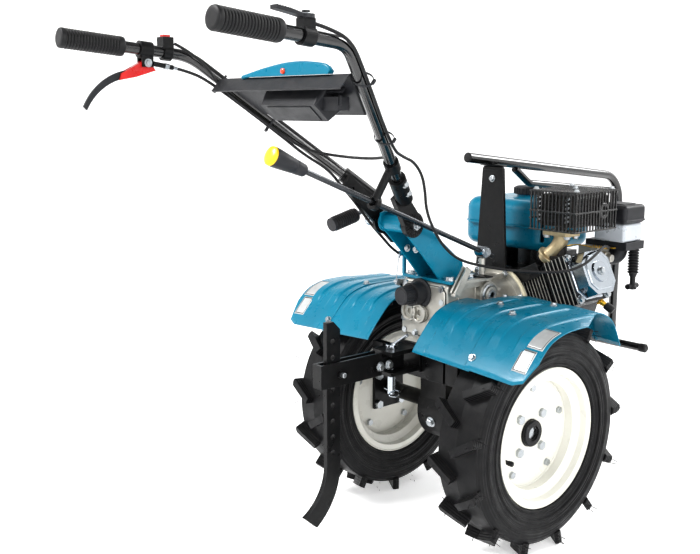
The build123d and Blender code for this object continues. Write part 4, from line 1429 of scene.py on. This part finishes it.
@dataclass
class Handlebar:
    """Grips, clips, joint details and the console on the handlebar."""

    shop: Workshop
    bend: Point = (224.0, -489.0, 958.0)
    end: Point = (237.0, -735.0, 981.0)
    grip_radius: float = 17.5
    grip_length: float = 115.0

    def build(self) -> None:
        """Build every handlebar detail."""
        self.grips()
        self.cable_ties()
        self.ear_details()
        self.console()
        self.end_plugs()

    def grips(self) -> None:
        """Two ribbed rubber grips with a flange and a rounded end."""
        stock = Stock()
        profile = [(0, 11), (0, 14), (1.5, 16.6), (4, 17.5), (7, 17.5)]
        reach = 9.0
        while reach < self.grip_length - 12:
            profile += [(reach, 17.3), (reach + 0.8, 15.9), (reach + 2.0, 15.9),
                        (reach + 2.8, 17.3), (reach + 4.6, 17.5)]
            reach += 5.4
        profile += [(107, 17.5), (109, 17.5), (112, 17.5), (115, 16.6), (115, 11.2)]
        for s in (1, -1):
            start = Vector((s * self.end[0], *self.end[1:]))
            bend = Vector((s * self.bend[0], *self.bend[1:]))
            stock.lathe(start, bend - start, profile, 40)
        made = self.shop.piece("ribbed_grips", stock, Slot.RUBBER, Body.HANDLEBAR)
        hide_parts("grips")

    def end_plugs(self) -> None:
        """Dimpled caps in the grips' ends."""
        stock = Stock()
        for s in (1, -1):
            start = Vector((s * self.end[0], *self.end[1:]))
            run = Vector((s * self.bend[0], *self.bend[1:])) - start
            stock.lathe(start + run.normalized() * 0.6, run, [(0, 0), (0.9, 6), (0, 9),
                                                             (-0.4, 12)], 32)
        self.shop.piece("grip_end_dimples", stock, Slot.RUBBER, Body.HANDLEBAR)

    def cable_ties(self) -> None:
        """Plastic ties that hold the cables to the tubes."""
        cables = ControlCables(self.shop)
        stock = Stock()
        run = (Vector(cables.bar_bend) - Vector(cables.bar_low)).normalized()
        for s, distance in ((1, 190), (1, 345), (-1, 232), (-1, 350)):
            at = cables.bar(distance)
            base = Vector((s * at.x, at.y, at.z))
            way = Vector((s * run.x, run.y, run.z))
            hang = cables.outside(distance) if s > 0 else cables.under(distance)
            middle = base * 0.62 + hang * 0.38
            side = (hang - base).normalized()
            over = way.cross(side)
            loop = []
            for k in range(25):
                a = math.tau * k / 24
                loop.append(middle + side * math.cos(a) * 18.5 + over * math.sin(a) * 12.2)
            for one, two in zip(loop, loop[1:]):
                stock.slab([one - way * 2, one + way * 2, two + way * 2, two - way * 2],
                           (one - middle).normalized() * 1.3)
            knot = middle + side * 19
            stock.bar(knot - over * 3, knot + over * 6, 3.0, 8)
        self.shop.piece("cable_ties", stock, Slot.PLASTIC, Body.HANDLEBAR)

    def ear_details(self) -> None:
        """Toothed washer and cross bolts through the sockets."""
        stock = Stock()
        for i in range(24):
            a = math.tau * i / 24
            hub = Vector((45, -165, 643))
            out = Vector((0, math.cos(a), math.sin(a)))
            stock.bar(hub + out * 13, hub + out * 23, 1.2, 6)
        self.shop.piece("ear_teeth", stock, Slot.BLACK, Body.HANDLEBAR)
        bolts = Stock()
        low, bend = Vector((50, -200, 700)), Vector(self.bend)
        run = (bend - low).normalized()
        for s in (1, -1):
            for distance in (14, 44):
                at = low + run * distance
                at = Vector((s * at.x, at.y, at.z))
                bolts.hexagon(at + Vector((s * 15, 0, 0)), (s, 0, 0), 10, 7)
        bolts.lathe((52.5, -165, 643), (1, 0, 0), [(0, 6), (5, 6), (6, 5), (6, 0)], 20)
        bolts.hexagon((-48, -246, 711), (-1, 0, 0), 12, 6)
        bolts.hexagon((-48, -228, 694), (-1, 0, 0), 12, 6)
        self.shop.piece("socket_bolts", bolts, Slot.STEEL, Body.HANDLEBAR)

    def console(self) -> None:
        """Panel's rolled hood, its lamp, the box's lid seam and its screws."""
        slope = math.atan2(258.0, 289.0)
        panel = Matrix.Translation((0, -412, 880)) @ Matrix.Rotation(-slope, 4, "X")
        edge = Stock()
        arch = eased([(-106, -451, 917.5), (-72, -451, 923.4), (-36, -451, 929.2),
                      (20, -451, 935.6), (67, -451, 936.6), (110, -451, 933.2),
                      (130, -451, 929.2), (139, -451, 921.6)], 6)
        edge.tube(arch, 3.6, 12)
        self.shop.piece("console_hood_bead", edge, Slot.TEAL, Body.HANDLEBAR)
        rolled = Stock()
        for one, two in (((-182, -50, 3), (-142, 41, 3)), ((182, -50, 3), (142, 41, 3)),
                         ((-142, 42, 3), (142, 42, 3))):
            rolled.tube([panel @ Vector(one), panel @ Vector(two)], 2.2, 8)
        self.shop.piece("console_panel_bead", rolled, Slot.PLASTIC, Body.HANDLEBAR)
        lamp = Stock()
        top = Vector((19, -455, 925))
        out = Vector((0, -1, 0.12))
        lamp.lathe(top, out, [(0, 5), (1.5, 5), (3, 4.4), (4, 2.4), (4.2, 0)], 24)
        self.shop.piece("console_lamp", lamp, Slot.RED, Body.HANDLEBAR,
                        extra=self.shop.extras.lens)
        ribs = Stock()
        ribs.block((-58, 118), (-38, 26), (-4.5, -0.5), panel)
        ribs.block((-30, 90), (-22, 12), (-39.6, -37.8), panel)
        ribs.block((100, 150), (-26, -22), (-10, -0.5), panel)
        ribs.bar((147, -438, 868), (147, -438, 884), 2.2, 10)
        self.shop.piece("storage_box_ribs", ribs, Slot.PLASTIC, Body.HANDLEBAR, bevel=1.0)
        screws = Stock()
        for x, y in ((-130, 30), (130, 30), (-165, -42), (165, -42), (0, 34)):
            at = panel @ Vector((x, y, 3))
            out = (panel @ Vector((x, y, 13))) - at
            screws.lathe(at, out, [(0, 5), (1.4, 4.8), (2.6, 3), (2.8, 1.6), (1.4, 1.2), (1.4, 0)],
                         20)
        self.shop.piece("console_screws", screws, Slot.STEEL, Body.HANDLEBAR)


@dataclass
class HandControls:
    """Springs, adjusters, knobs and ribs of the hand controls."""

    shop: Workshop

    def build(self) -> None:
        """Build the controls' details."""
        self.clutch()
        self.throttle()
        self.gear_knob()
        self.lock_grip()
        self.swivel()

    def clutch(self) -> None:
        """Adjuster barrel at the clamp and a thumb ridge on the red lever."""
        stock = Stock()
        profile = [(0, 3), (0, 5.6), (8, 5.6), (9, 4.2), (17, 4.2), (18, 3.2), (26, 3.2)]
        stock.lathe((-218, -545, 938.4), (0, 1, -0.15), profile, 16)
        stock.hexagon((-219, -577, 943), (1, 0, 0), 10, 5)
        stock.hexagon((-239, -577, 943), (-1, 0, 0), 10, 5)
        stock.hexagon((-229, -585, 957), (0, -0.5, 0.86), 8, 4)
        self.shop.piece("clutch_adjuster", stock, Slot.STEEL, Body.HANDLEBAR)
        ridge = Stock()
        for i in range(6):
            y = -588 - 6 * i
            z = 933.5 - 2.7 * i
            ridge.bar((-234.6, y, z + 6), (-223.4, y, z + 6), 1.6, 10)
        self.shop.piece("clutch_lever_ridges", ridge, Slot.RED, Body.CLUTCH_LEVER)

    def throttle(self) -> None:
        """Ridges on the throttle lever's thumb end and its top nut."""
        stock = Stock()
        for i in range(6):
            y = -602 - 4.6 * i
            z = 1001.3 + 0.66 * i
            stock.bar((222.4, y, z), (235.2, y, z), 1.3, 8)
        self.shop.piece("throttle_ridges", stock, Slot.PLASTIC, Body.THROTTLE)
        nut = Stock()
        nut.lathe((228.8, -571, 996.4), (0, 0, 1), [(0, 7.4), (1.4, 7.2), (1.8, 6), (4.4, 5)], 6)
        nut.hexagon((219, -571, 982), (-1, 0, 0), 8, 4)
        self.shop.piece("throttle_nuts", nut, Slot.STEEL, Body.HANDLEBAR)

    def gear_knob(self) -> None:
        """Long tapered knob with a rounded shoulder and a yellow cap."""
        base = Vector((62, -446, 759.5))
        run = Vector((0, -460, 184.5)).normalized()
        stock = Stock()
        profile = [(0, 5.2), (0, 10), (2, 11), (20, 12.6), (22, 12), (24, 12.9), (44, 15),
                   (60, 16.6), (70, 17), (71, 16.2)]
        stock.lathe(base, run, profile, 36)
        made = self.shop.piece("gear_knob_body", stock, Slot.PLASTIC, Body.GEAR_ROD)
        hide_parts("gear_knob")
        cap = Stock()
        cap.lathe(base, run, [(70.6, 0), (70.6, 16), (72, 17), (75, 16.4), (77, 13), (78, 8),
                              (78.3, 0)], 36)
        self.shop.piece("gear_knob_cap", cap, Slot.PLASTIC, Body.GEAR_ROD,
                        extra=self.shop.extras.yellow_cap)

    def lock_grip(self) -> None:
        """Ribs round the locking lever's grip and its bright barrel."""
        stock = Stock()
        start, end = Vector((-78, -212, 654.5)), Vector((-78, -268, 640.5))
        run = (end - start).normalized()
        for i in range(11):
            ring = [(5 * i, 13.4), (5 * i + 0.8, 14.6), (5 * i + 2.4, 14.6), (5 * i + 3.2, 13.4)]
            stock.lathe(start, run, ring, 28, closed=True)
        self.shop.piece("lock_lever_ribs", stock, Slot.RUBBER, Body.LOCK_LEVER)
        barrel = Stock()
        ring = [(0, 11.1), (0, 12), (10, 12), (12, 11.4), (20, 11.4), (21, 12), (26, 12), (26, 11.1)]
        barrel.lathe((-84, -165, 643), (1, 0, 0), ring, 32, closed=True)
        barrel.tube(eased([(-78, -170, 655), (-78, -174, 663), (-78, -186, 661),
                           (-78, -208, 655.5)], 5), 4.5, 14)
        self.shop.piece("lock_lever_barrel", barrel, Slot.CHROME, Body.LOCK_LEVER)

    def swivel(self) -> None:
        """Nuts on the cross bolt at the gear rod's swivel."""
        stock = Stock()
        stock.hexagon((73, 14, 575), (1, 0, 0), 13, 7)
        stock.hexagon((51, 14, 575), (-1, 0, 0), 13, 7)
        self.shop.piece("swivel_nuts", stock, Slot.STEEL, Body.SWIVEL)


@dataclass
class Hitch:
    """Clips, welds and bolts of the rear hitch and the drag stake."""

    shop: Workshop

    def build(self) -> None:
        """Build the hitch's details."""
        clip = Stock()
        loop = [(0, -172, 306), (10, -168, 304), (20, -178, 302), (22, -190, 300),
                (12, -196, 301), (4, -188, 304), (-6, -184, 306), (-18, -182, 307)]
        clip.tube(eased(loop, 5), 1.4, 8)
        self.shop.piece("hitch_pin_clip", clip, Slot.CHROME, Body.PIN)
        welds = Stock()
        for s in (1, -1):
            for z in (382.3, 354.6):
                bead = [(s * (8.4 + 0.3 * (i % 2)), -240 + 3.5 * i, z) for i in range(8)]
                welds.tube(bead, 1.6, 6)
        self.shop.piece("hitch_welds", welds, Slot.BLACK, Body.DRAW_BAR)
        seam = Stock()
        for s in (1, -1):
            row = [(s * (20 + 3.4 * i), -111.4 - 0.5 * (i % 2), 377.4) for i in range(16)]
            seam.tube(row, 1.5, 6)
        self.shop.piece("beam_welds", seam, Slot.BLACK, Body.CHASSIS)
        bolts = Stock()
        for s in (1, -1):
            bolts.lathe((s * 19, -325, 370), (s, 0, 0), [(0, 5), (7, 5), (8, 4), (8, 0)], 16)
            bolts.hexagon((s * 18.5, -228, 368), (s, 0, 0), 13, 7)
            bolts.hexagon((s * 18.5, -205, 368), (s, 0, 0), 13, 7)
        self.shop.piece("draw_bar_bolts", bolts, Slot.STEEL, Body.DRAW_BAR)
        beam = Stock()
        for s in (1, -1):
            wall = [(s * 84, -120, 326), (s * 122, -120, 326), (s * 122, -120, 377),
                    (s * 84, -120, 377)]
            beam.slab(wall, (0, 2.5, 0))
            for z in (337, 366):
                beam.lathe((s * 105, -112, z), (0, -1, 0), [(0, 12), (2, 12), (2.2, 8)], 28)
        self.shop.piece("beam_washers", beam, Slot.BLACK, Body.CHASSIS, bevel=0.6)


@dataclass
class Engine:
    """Fins, cage, pipes and small parts round the leaning single cylinder."""

    shop: Workshop
    lean_degrees: float = 25.0
    lean_at: Point = (62.0, 196.0, 462.0)
    fins: int = 8

    def lean(self) -> Matrix:
        """The leaning cylinder's own axes: X up the bore, Y forward, Z across."""
        return Matrix.Translation(self.lean_at) @ Matrix.Rotation(
            -math.radians(self.lean_degrees), 4, "Y")

    def build(self) -> None:
        """Build every engine detail."""
        self.barrel_fins()
        self.head_details()
        self.exhaust()
        self.cage()
        self.tank_details()
        self.starter()
        self.air_cleaner()
        self.carburettor()
        self.crankcase()

    def loop(self, half_y: float, low: float, high: float, cut: float) -> list[Point]:
        """Outline of a fin across the bore, corners cut."""
        return [(-half_y + cut, low), (half_y - cut, low), (half_y, low + cut),
                (half_y, high - cut), (half_y - cut, high), (-half_y + cut, high),
                (-half_y, high - cut), (-half_y, low + cut)]

    def barrel_fins(self) -> None:
        """Black cooling fins with their bright ground edges."""
        dark, bright = Stock(), Stock()
        turn = self.lean()
        starts = [13.8 + 8.0 * i for i in range(self.fins)]
        for x in starts:
            outer = self.loop(50.5, -52.5, 46.5, 12)
            low = [turn @ Vector((x, y, z)) for y, z in outer]
            dark.slab(low, turn.to_3x3() @ Vector((4.4, 0, 0)))
            inner = self.loop(49.3, -51.3, 45.3, 11.6)
            rim_out = self.loop(51.3, -53.3, 47.3, 12.2)
            for k in range(8):
                j = (k + 1) % 8
                spots = (rim_out[k], rim_out[j], inner[j], inner[k])
                wall = [turn @ Vector((x + 1.6, *spot)) for spot in spots]
                bright.slab(wall, turn.to_3x3() @ Vector((1.2, 0, 0)))
        for x in (84.4, 94.0, 104.0, 114.0, 124.0, 134.4):
            for flip in (0, 1):
                rim_out = self.loop(54.8, -54.8, 50.8, 1.0)
                inner = self.loop(53.4, -53.4, 49.4, 0.6)
                j, k = (7, 0) if flip else (6, 7)
                spots = (rim_out[k], rim_out[j], inner[j], inner[k])
                wall = [turn @ Vector((x + 3.4, *spot)) for spot in spots]
                bright.slab(wall, turn.to_3x3() @ Vector((1.4, 0, 0)))
        self.shop.piece("barrel_fins", dark, Slot.STARTER, Body.CHASSIS)
        self.shop.piece("barrel_fin_edges", bright, Slot.CAST, Body.CHASSIS)

    def head_details(self) -> None:
        """Rocker cover flange and bolt, head bolts, plug and its cap."""
        turn = self.lean()
        way = turn.to_3x3()
        flange = Stock()
        outline = self.loop(49, -49, 47, 20)
        flange.slab([turn @ Vector((138.6, y, z)) for y, z in outline], way @ Vector((4, 0, 0)))
        step = self.loop(38, -38, 36, 16)
        flange.slab([turn @ Vector((170, y, z)) for y, z in step], way @ Vector((4.6, 0, 0)))
        self.shop.piece("rocker_cover_steps", flange, Slot.CHROME, Body.CHASSIS, bevel=2.4)
        bolts = Stock()
        bolts.hexagon(turn @ Vector((178, 0, -1)), way @ Vector((1, 0, 0)), 12, 7)
        for y, z in ((-46, -46), (46, -46), (-46, 42), (46, 42)):
            bolts.hexagon(turn @ Vector((140, y, z)), way @ Vector((1, 0, 0)), 12, 8)
        self.shop.piece("head_bolts", bolts, Slot.STEEL, Body.CHASSIS)
        plug = Stock()
        base = turn @ Vector((122, 40, -54))
        out = way @ Vector((0.5, 0.25, -0.8))
        plug.lathe(base, out, [(0, 9), (4, 9), (5, 6.5), (14, 5.5), (20, 4)], 20)
        self.shop.piece("plug_shell", plug, Slot.STEEL, Body.CHASSIS,
                        extra=self.shop.extras.yellow_zinc)
        cap = Stock()
        cap.lathe(base, out, [(16, 5), (16, 8), (30, 9), (36, 7), (37, 0)], 20)
        self.shop.piece("plug_cap", cap, Slot.RUBBER, Body.CHASSIS)
        shroud = Stock()
        for y0, y1 in ((-58, -54.6), (54.6, 58)):
            shroud.block((-14, 70), (y0, y1), (28, 58), turn)
        shroud.block((-14, 70), (-58, 58), (48.5, 51), turn)
        self.shop.piece("barrel_shroud", shroud, Slot.STARTER, Body.CHASSIS, bevel=1.2)

    def exhaust(self) -> None:
        """Bent pipe between head and muffler with its two flanges and nuts."""
        stock = Stock()
        stock.slab([(106, 152, 604), (112, 146, 604), (168, 146, 604), (174, 152, 604),
                    (174, 188, 604), (168, 194, 604), (112, 194, 604), (106, 188, 604)],
                   (0, 0, 9))
        path = eased([(141, 170, 606), (140, 169, 592), (133, 165, 576), (120, 160, 562),
                      (108, 158, 550)], 6)
        stock.tube(path, 15.5, 24)
        stock.lathe((116, 159, 556), (0.6, 0.1, 0.7), [(0, 24), (6, 24), (7, 18)], 28)
        self.shop.piece("exhaust_pipe", stock, Slot.EXHAUST, Body.CHASSIS, bevel=1.0,
                        extra=self.shop.extras.straw)
        nuts = Stock()
        for x, y in ((114, 156), (166, 156), (114, 184), (166, 184)):
            nuts.hexagon((x, y, 604), (0, 0, -1), 11, 7)
        self.shop.piece("exhaust_nuts", nuts, Slot.STEEL, Body.CHASSIS)

    def cage(self) -> None:
        """Slatted guard round the muffler: thin bars, two bands and a pierced back."""
        bars = Stock()
        x0, x1, y0, y1, z0, z1 = 92.5, 207.5, 122.5, 267.5, 616, 699
        for i in range(13):
            x = x0 + 4 + (x1 - x0 - 8) * i / 12
            bars.block((x - 1.3, x + 1.3), (y0, y0 + 2.6), (z0, z1))
            bars.block((x - 1.3, x + 1.3), (y1 - 2.6, y1), (z0, z1))
            bars.block((x - 1.3, x + 1.3), (y0, y0 + 20), (z1 - 2.6, z1))
            bars.block((x - 1.3, x + 1.3), (y1 - 20, y1), (z1 - 2.6, z1))
        for i in range(15):
            y = y0 + 4 + (y1 - y0 - 8) * i / 14
            bars.block((x1 - 2.6, x1), (y - 1.3, y + 1.3), (z0, z1))
            bars.block((x0, x0 + 2.6), (y - 1.3, y + 1.3), (z0 + 22, z1))
            bars.block((x0, x1), (y - 1.3, y + 1.3), (z1 - 2.4, z1))
        for z in (z0 + 1.5, 656, z1 - 2):
            bars.block((x0, x1), (y0 - 0.4, y0 + 2), (z - 1.5, z + 1.5))
            bars.block((x0, x1), (y1 - 2, y1 + 0.4), (z - 1.5, z + 1.5))
            bars.block((x1 - 2, x1 + 0.4), (y0, y1), (z - 1.5, z + 1.5))
            bars.block((x0 - 0.4, x0 + 2), (y0, y1), (max(z, z0 + 24) - 1.5, max(z, z0 + 24) + 1.5))
        made = self.shop.piece("muffler_cage", bars, Slot.GUARD, Body.CHASSIS)
        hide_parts("muffler_guard")
        skin, highlight_tabs = Stock(), Stock()
        # The two outer columns of louvre tabs are bright zinc as a painted highlight. It stands in
        # for light through the slots catching the tab edges. The middle column keeps the muffler's
        # own dark skin.
        for x, stock in ((112, highlight_tabs), (147, skin), (182, highlight_tabs)):
            half = 4.5 if stock is highlight_tabs else 8
            for k in range(6):
                z = 634 + 9 * k
                stock.slab([(x - half, 128, z), (x + half, 128, z + 3), (x + half, 128, z + 7),
                            (x - half, 128, z + 4)], (0, 3.5, 0))
        # The bright zinc on these tabs is a painted highlight, not the muffler's own colour.
        self.shop.piece("muffler_painted_highlight_tabs", highlight_tabs, Slot.STEEL, Body.CHASSIS, bevel=0.4)
        for y in (150, 176):
            for k in range(6):
                z = 634 + 9 * k
                skin.slab([(200, y - 9, z), (200, y + 9, z + 3), (200, y + 9, z + 7),
                           (200, y - 9, z + 4)], (-2.5, 0, 0))
        skin.lathe((199, 222, 656), (1, 0, 0), [(0, 20), (4, 20), (9, 15), (9, 10), (2, 9),
                                               (2, 0)], 36)
        self.shop.piece("muffler_louvres", skin, Slot.GUARD, Body.CHASSIS, bevel=0.5)
        screws = Stock()
        for x, y in ((100, 134), (200, 134), (200, 256), (100, 256), (150, 200)):
            screws.hexagon((x, y, z1), (0, 0, 1), 8, 5)
        self.shop.piece("cage_screws", screws, Slot.STEEL, Body.CHASSIS)

    def tank_details(self) -> None:
        """Tank's rolled seam and the ribbed filler cap."""
        seam = Stock()
        corners = [(-116, 178), (56, 178), (82, 200), (88, 240), (88, 306), (82, 346), (56, 368),
                   (-116, 368), (-146, 346), (-154, 306), (-154, 240), (-146, 200)]
        loop = [(x, y, 609.5) for x, y in corners] + [(*corners[0], 609.5)]
        seam.tube(eased(loop, 4), 2.4, 8)
        self.shop.piece("tank_seam", seam, Slot.TEAL, Body.CHASSIS)
        cap = Stock()
        profile = [(0, 28), (1, 31), (14, 31), (17, 29), (19, 24), (19.6, 10), (19.0, 0)]
        cap.lathe((-53, 300, 668.4), (0, 0, 1), profile, 48)
        for i in range(24):
            a = math.tau * i / 24
            x, y = -53 + 31 * math.cos(a), 300 + 31 * math.sin(a)
            cap.bar((x, y, 670), (x, y, 684), 1.6, 8)
        made = self.shop.piece("fuel_cap_ribbed", cap, Slot.PLASTIC, Body.CAP)
        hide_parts("fuel_cap")

    def starter(self) -> None:
        """Recoil cover's ring of slots, its pull handle and screws."""
        slots = Stock()
        for i in range(18):
            a = math.tau * i / 18
            out = Vector((math.cos(a), 0, math.sin(a)))
            side = Vector((-math.sin(a), 0, math.cos(a)))
            centre = Vector((0, 385.8, CRANK_Z))
            p, q = centre + out * 64, centre + out * 86
            slots.slab([p - side * 4, q - side * 6, q + side * 6, p + side * 4], (0, 2.6, 0))
        slots.lathe((0, 393, CRANK_Z), (0, 1, 0), [(0, 40), (3, 36), (3, 12), (1, 10), (1, 0)], 48)
        self.shop.piece("starter_cover_ribs", slots, Slot.STARTER, Body.CHASSIS, bevel=0.8)
        handle = Stock()
        handle.lathe((-72, 384, 508), (0, 1, 0.2), [(0, 9), (6, 8), (10, 5), (12, 5)], 20)
        handle.lathe((-94, 398, 512), (1, 0, 0), [(0, 5), (2, 8), (20, 7), (24, 7), (42, 8),
                                                 (44, 5)], 20)
        self.shop.piece("starter_handle", handle, Slot.PLASTIC, Body.CHASSIS)
        screws = Stock()
        for i in range(6):
            a = math.tau * (i + 0.5) / 6
            at = (98 * math.cos(a), 352, CRANK_Z + 98 * math.sin(a))
            screws.hexagon(at, (0, 1, 0), 8, 5)
        self.shop.piece("starter_screws", screws, Slot.STEEL, Body.CHASSIS)

    def air_cleaner(self) -> None:
        """Stepped lid and the corrugated drain hose."""
        lid = Stock()
        for z, grow in ((626, 0.8), (655, -3.5)):
            lid.slab([(134 - grow, 290 - grow, z), (210 + grow, 290 - grow, z),
                      (214 + grow, 294, z), (214 + grow, 364, z), (210 + grow, 368 + grow, z),
                      (134 - grow, 368 + grow, z), (130 - grow, 364, z), (130 - grow, 294, z)],
                     (0, 0, 4))
        lid.slab([(144, 304, 660), (200, 304, 660), (196, 354, 660), (148, 354, 660)], (0, 0, 3))
        self.shop.piece("air_cleaner_lid_steps", lid, Slot.PLASTIC, Body.CHASSIS, bevel=1.4)
        hose = Stock()
        profile = [(0, 9)]
        for i in range(9):
            profile += [(4 + 6 * i, 9.0), (6 + 6 * i, 12.2), (8 + 6 * i, 12.2), (9.6 + 6 * i, 9.0)]
        profile += [(62, 8), (66, 6), (84, 6), (86, 9), (92, 9), (94, 0)]
        hose.lathe((200, 350, 568), (0.03, -0.03, -1), profile, 24)
        hose.lathe((200, 332, 482), (0, 1, 0), [(0, 0), (0, 6), (36, 6), (36, 0)], 16)
        self.shop.piece("breather_hose", hose, Slot.RUBBER, Body.CHASSIS)

    def carburettor(self) -> None:
        """Float bowl, links, spring and the black intake elbow."""
        bowl = Stock()
        bowl.lathe((136, 295, 520), (0, 0, -1), [(0, 22), (4, 22), (6, 18), (22, 16), (27, 8),
                                                (33, 6), (33, 0)], 32)
        bowl.lathe((160, 296, 546), (1, 0, 0), [(0, 14), (10, 14), (12, 10), (22, 8)], 28)
        self.shop.piece("float_bowl", bowl, Slot.CAST, Body.CHASSIS)
        elbow = Stock()
        elbow.tube(eased([(140, 312, 552), (150, 322, 546), (162, 332, 544), (170, 338, 552),
                          (172, 340, 568)], 6), 17, 24)
        elbow.block((111, 213), (299, 367), (565, 582.1))
        self.shop.piece("intake_elbow", elbow, Slot.PLASTIC, Body.CHASSIS, bevel=1.2)
        links = Stock()
        links.tube(eased([(150, 276, 568), (120, 250, 574), (80, 240, 560), (60, 276, 548)], 5),
                   1.2, 8)
        links.slab([(160, 284, 568), (186, 292, 568), (190, 306, 568), (164, 304, 568)],
                   (0, 0, 2.2))
        coil = [(150 + 0.9 * t, 270 + 2.6 * math.cos(t * 1.1), 572 + 2.6 * math.sin(t * 1.1))
                for t in range(40)]
        links.tube(coil, 0.7, 6)
        self.shop.piece("governor_links", links, Slot.STEEL, Body.CHASSIS,
                        extra=self.shop.extras.yellow_zinc)

    def crankcase(self) -> None:
        """Black enamel side plate with bosses, oil filler and drain plug."""
        plate = Stock()
        outline = [(52, 352), (60, 362), (62, 420), (64, 470), (60, 500), (30, 504), (-60, 502),
                   (-82, 480), (-82, 356), (-66, 346), (40, 346)]
        plate.slab([(x, 134.4, z) for x, z in outline], (0, -3, 0))
        for x, z in ((44, 478), (50, 430), (30, 378), (-64, 470), (-64, 380)):
            plate.lathe((x, 134, z), (0, -1, 0), [(0, 11), (7, 9), (7, 4.5), (3, 4), (3, 0)], 24)
        self.shop.piece("crankcase_face", plate, Slot.STARTER, Body.CHASSIS, bevel=1.4)
        bolts = Stock()
        for x, z in ((36, 356), (56, 402), (56, 462), (-40, 494), (10, 498), (-76, 430)):
            bolts.hexagon((x, 131, z), (0, -1, 0), 10, 6)
        bolts.hexagon((84, 240, 346), (1, 0, 0), 12, 7)
        for s in (1, -1):
            for y in (160, 270):
                bolts.hexagon((s * 90, y, 340), (0, 0, 1), 12, 8)
        self.shop.piece("crankcase_bolts", bolts, Slot.STEEL, Body.CHASSIS)
        filler = Stock()
        filler.lathe((-84, 250, 372), (-1, 0, 0.35), [(0, 14), (10, 13), (12, 15), (22, 15),
                                                     (24, 12), (24, 0)], 28)
        self.shop.piece("oil_filler_cap", filler, Slot.PLASTIC, Body.CHASSIS)


@dataclass
class Guard:
    """End plugs, welds and feet of the tubular guard."""

    shop: Workshop

    def build(self) -> None:
        """Build the guard's details."""
        stock = Stock()
        way = Vector((0, 554, -65)).normalized()
        stock.lathe((0, 33, 763), tuple(-way), [(-4, 10.5), (1.4, 10.4), (3.6, 8), (4.2, 0)], 32)
        for s in (1, -1):
            stock.lathe((s * 98, 587, 281), (s, 0, 0), [(-14, 10.8), (1, 10.8), (3.6, 8), (4, 0)],
                        28)
        self.shop.piece("guard_end_caps", stock, Slot.RUBBER, Body.CHASSIS)
        saddle = Stock()
        saddle.slab([(-28, 111.6, 733), (28, 111.6, 733), (26, 111.6, 742), (-26, 111.6, 742)],
                    (0, 6.8, 0))
        saddle.slab([(-26, 100, 744), (26, 100, 744), (26, 128, 740.6), (-26, 128, 740.6)],
                    (0, 0, 3.4))
        self.shop.piece("guard_saddle", saddle, Slot.BLACK, Body.CHASSIS, bevel=1.4)
        welds = Stock()
        for x in (-28, 28):
            row = [(x * 0.36 + (1 if x > 0 else -1) * 0.8 * (i % 2), 110.6 + 1.4 * i, 745.4)
                   for i in range(7)]
            welds.tube(row, 1.8, 7)
        welds.lathe((0, 587, 284), (0, 0, 1), [(6, 9), (7, 12.4), (9, 12.4), (10, 9)], 24,
                    closed=True)
        self.shop.piece("guard_welds", welds, Slot.TUBE, Body.CHASSIS)
        bolts = Stock()
        for x in (-26, 26):
            bolts.hexagon((x, 122, 530), (0, 0, 1), 12, 7)
        bolts.hexagon((0, 111.8, 716), (0, -1, 0), 10, 6)
        for y in (90, 250):
            for x in (-40, 40):
                bolts.hexagon((x, y, 318), (0, 0, -1), 12, 7)
        self.shop.piece("guard_bolts", bolts, Slot.STEEL, Body.CHASSIS)


def main() -> None:
    """Build the studio, the cables and then each sub-assembly, and report them."""
    logging.basicConfig(level=logging.INFO, format="%(message)s")
    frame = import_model()
    shop = Workshop(frame)
    shop.open()
    shop.dress()
    Studio(shop).build()
    ControlCables(shop).build()
    Wheels(shop).build()
    for side in (1, -1):
        Fender(shop, side).build()
    for assembly in (Gearbox, Column, Handlebar, HandControls, Hitch, Engine, Guard):
        assembly(shop).build()
        LOG.info("%s built", assembly.__name__)


if __name__ == "__main__":
    main()
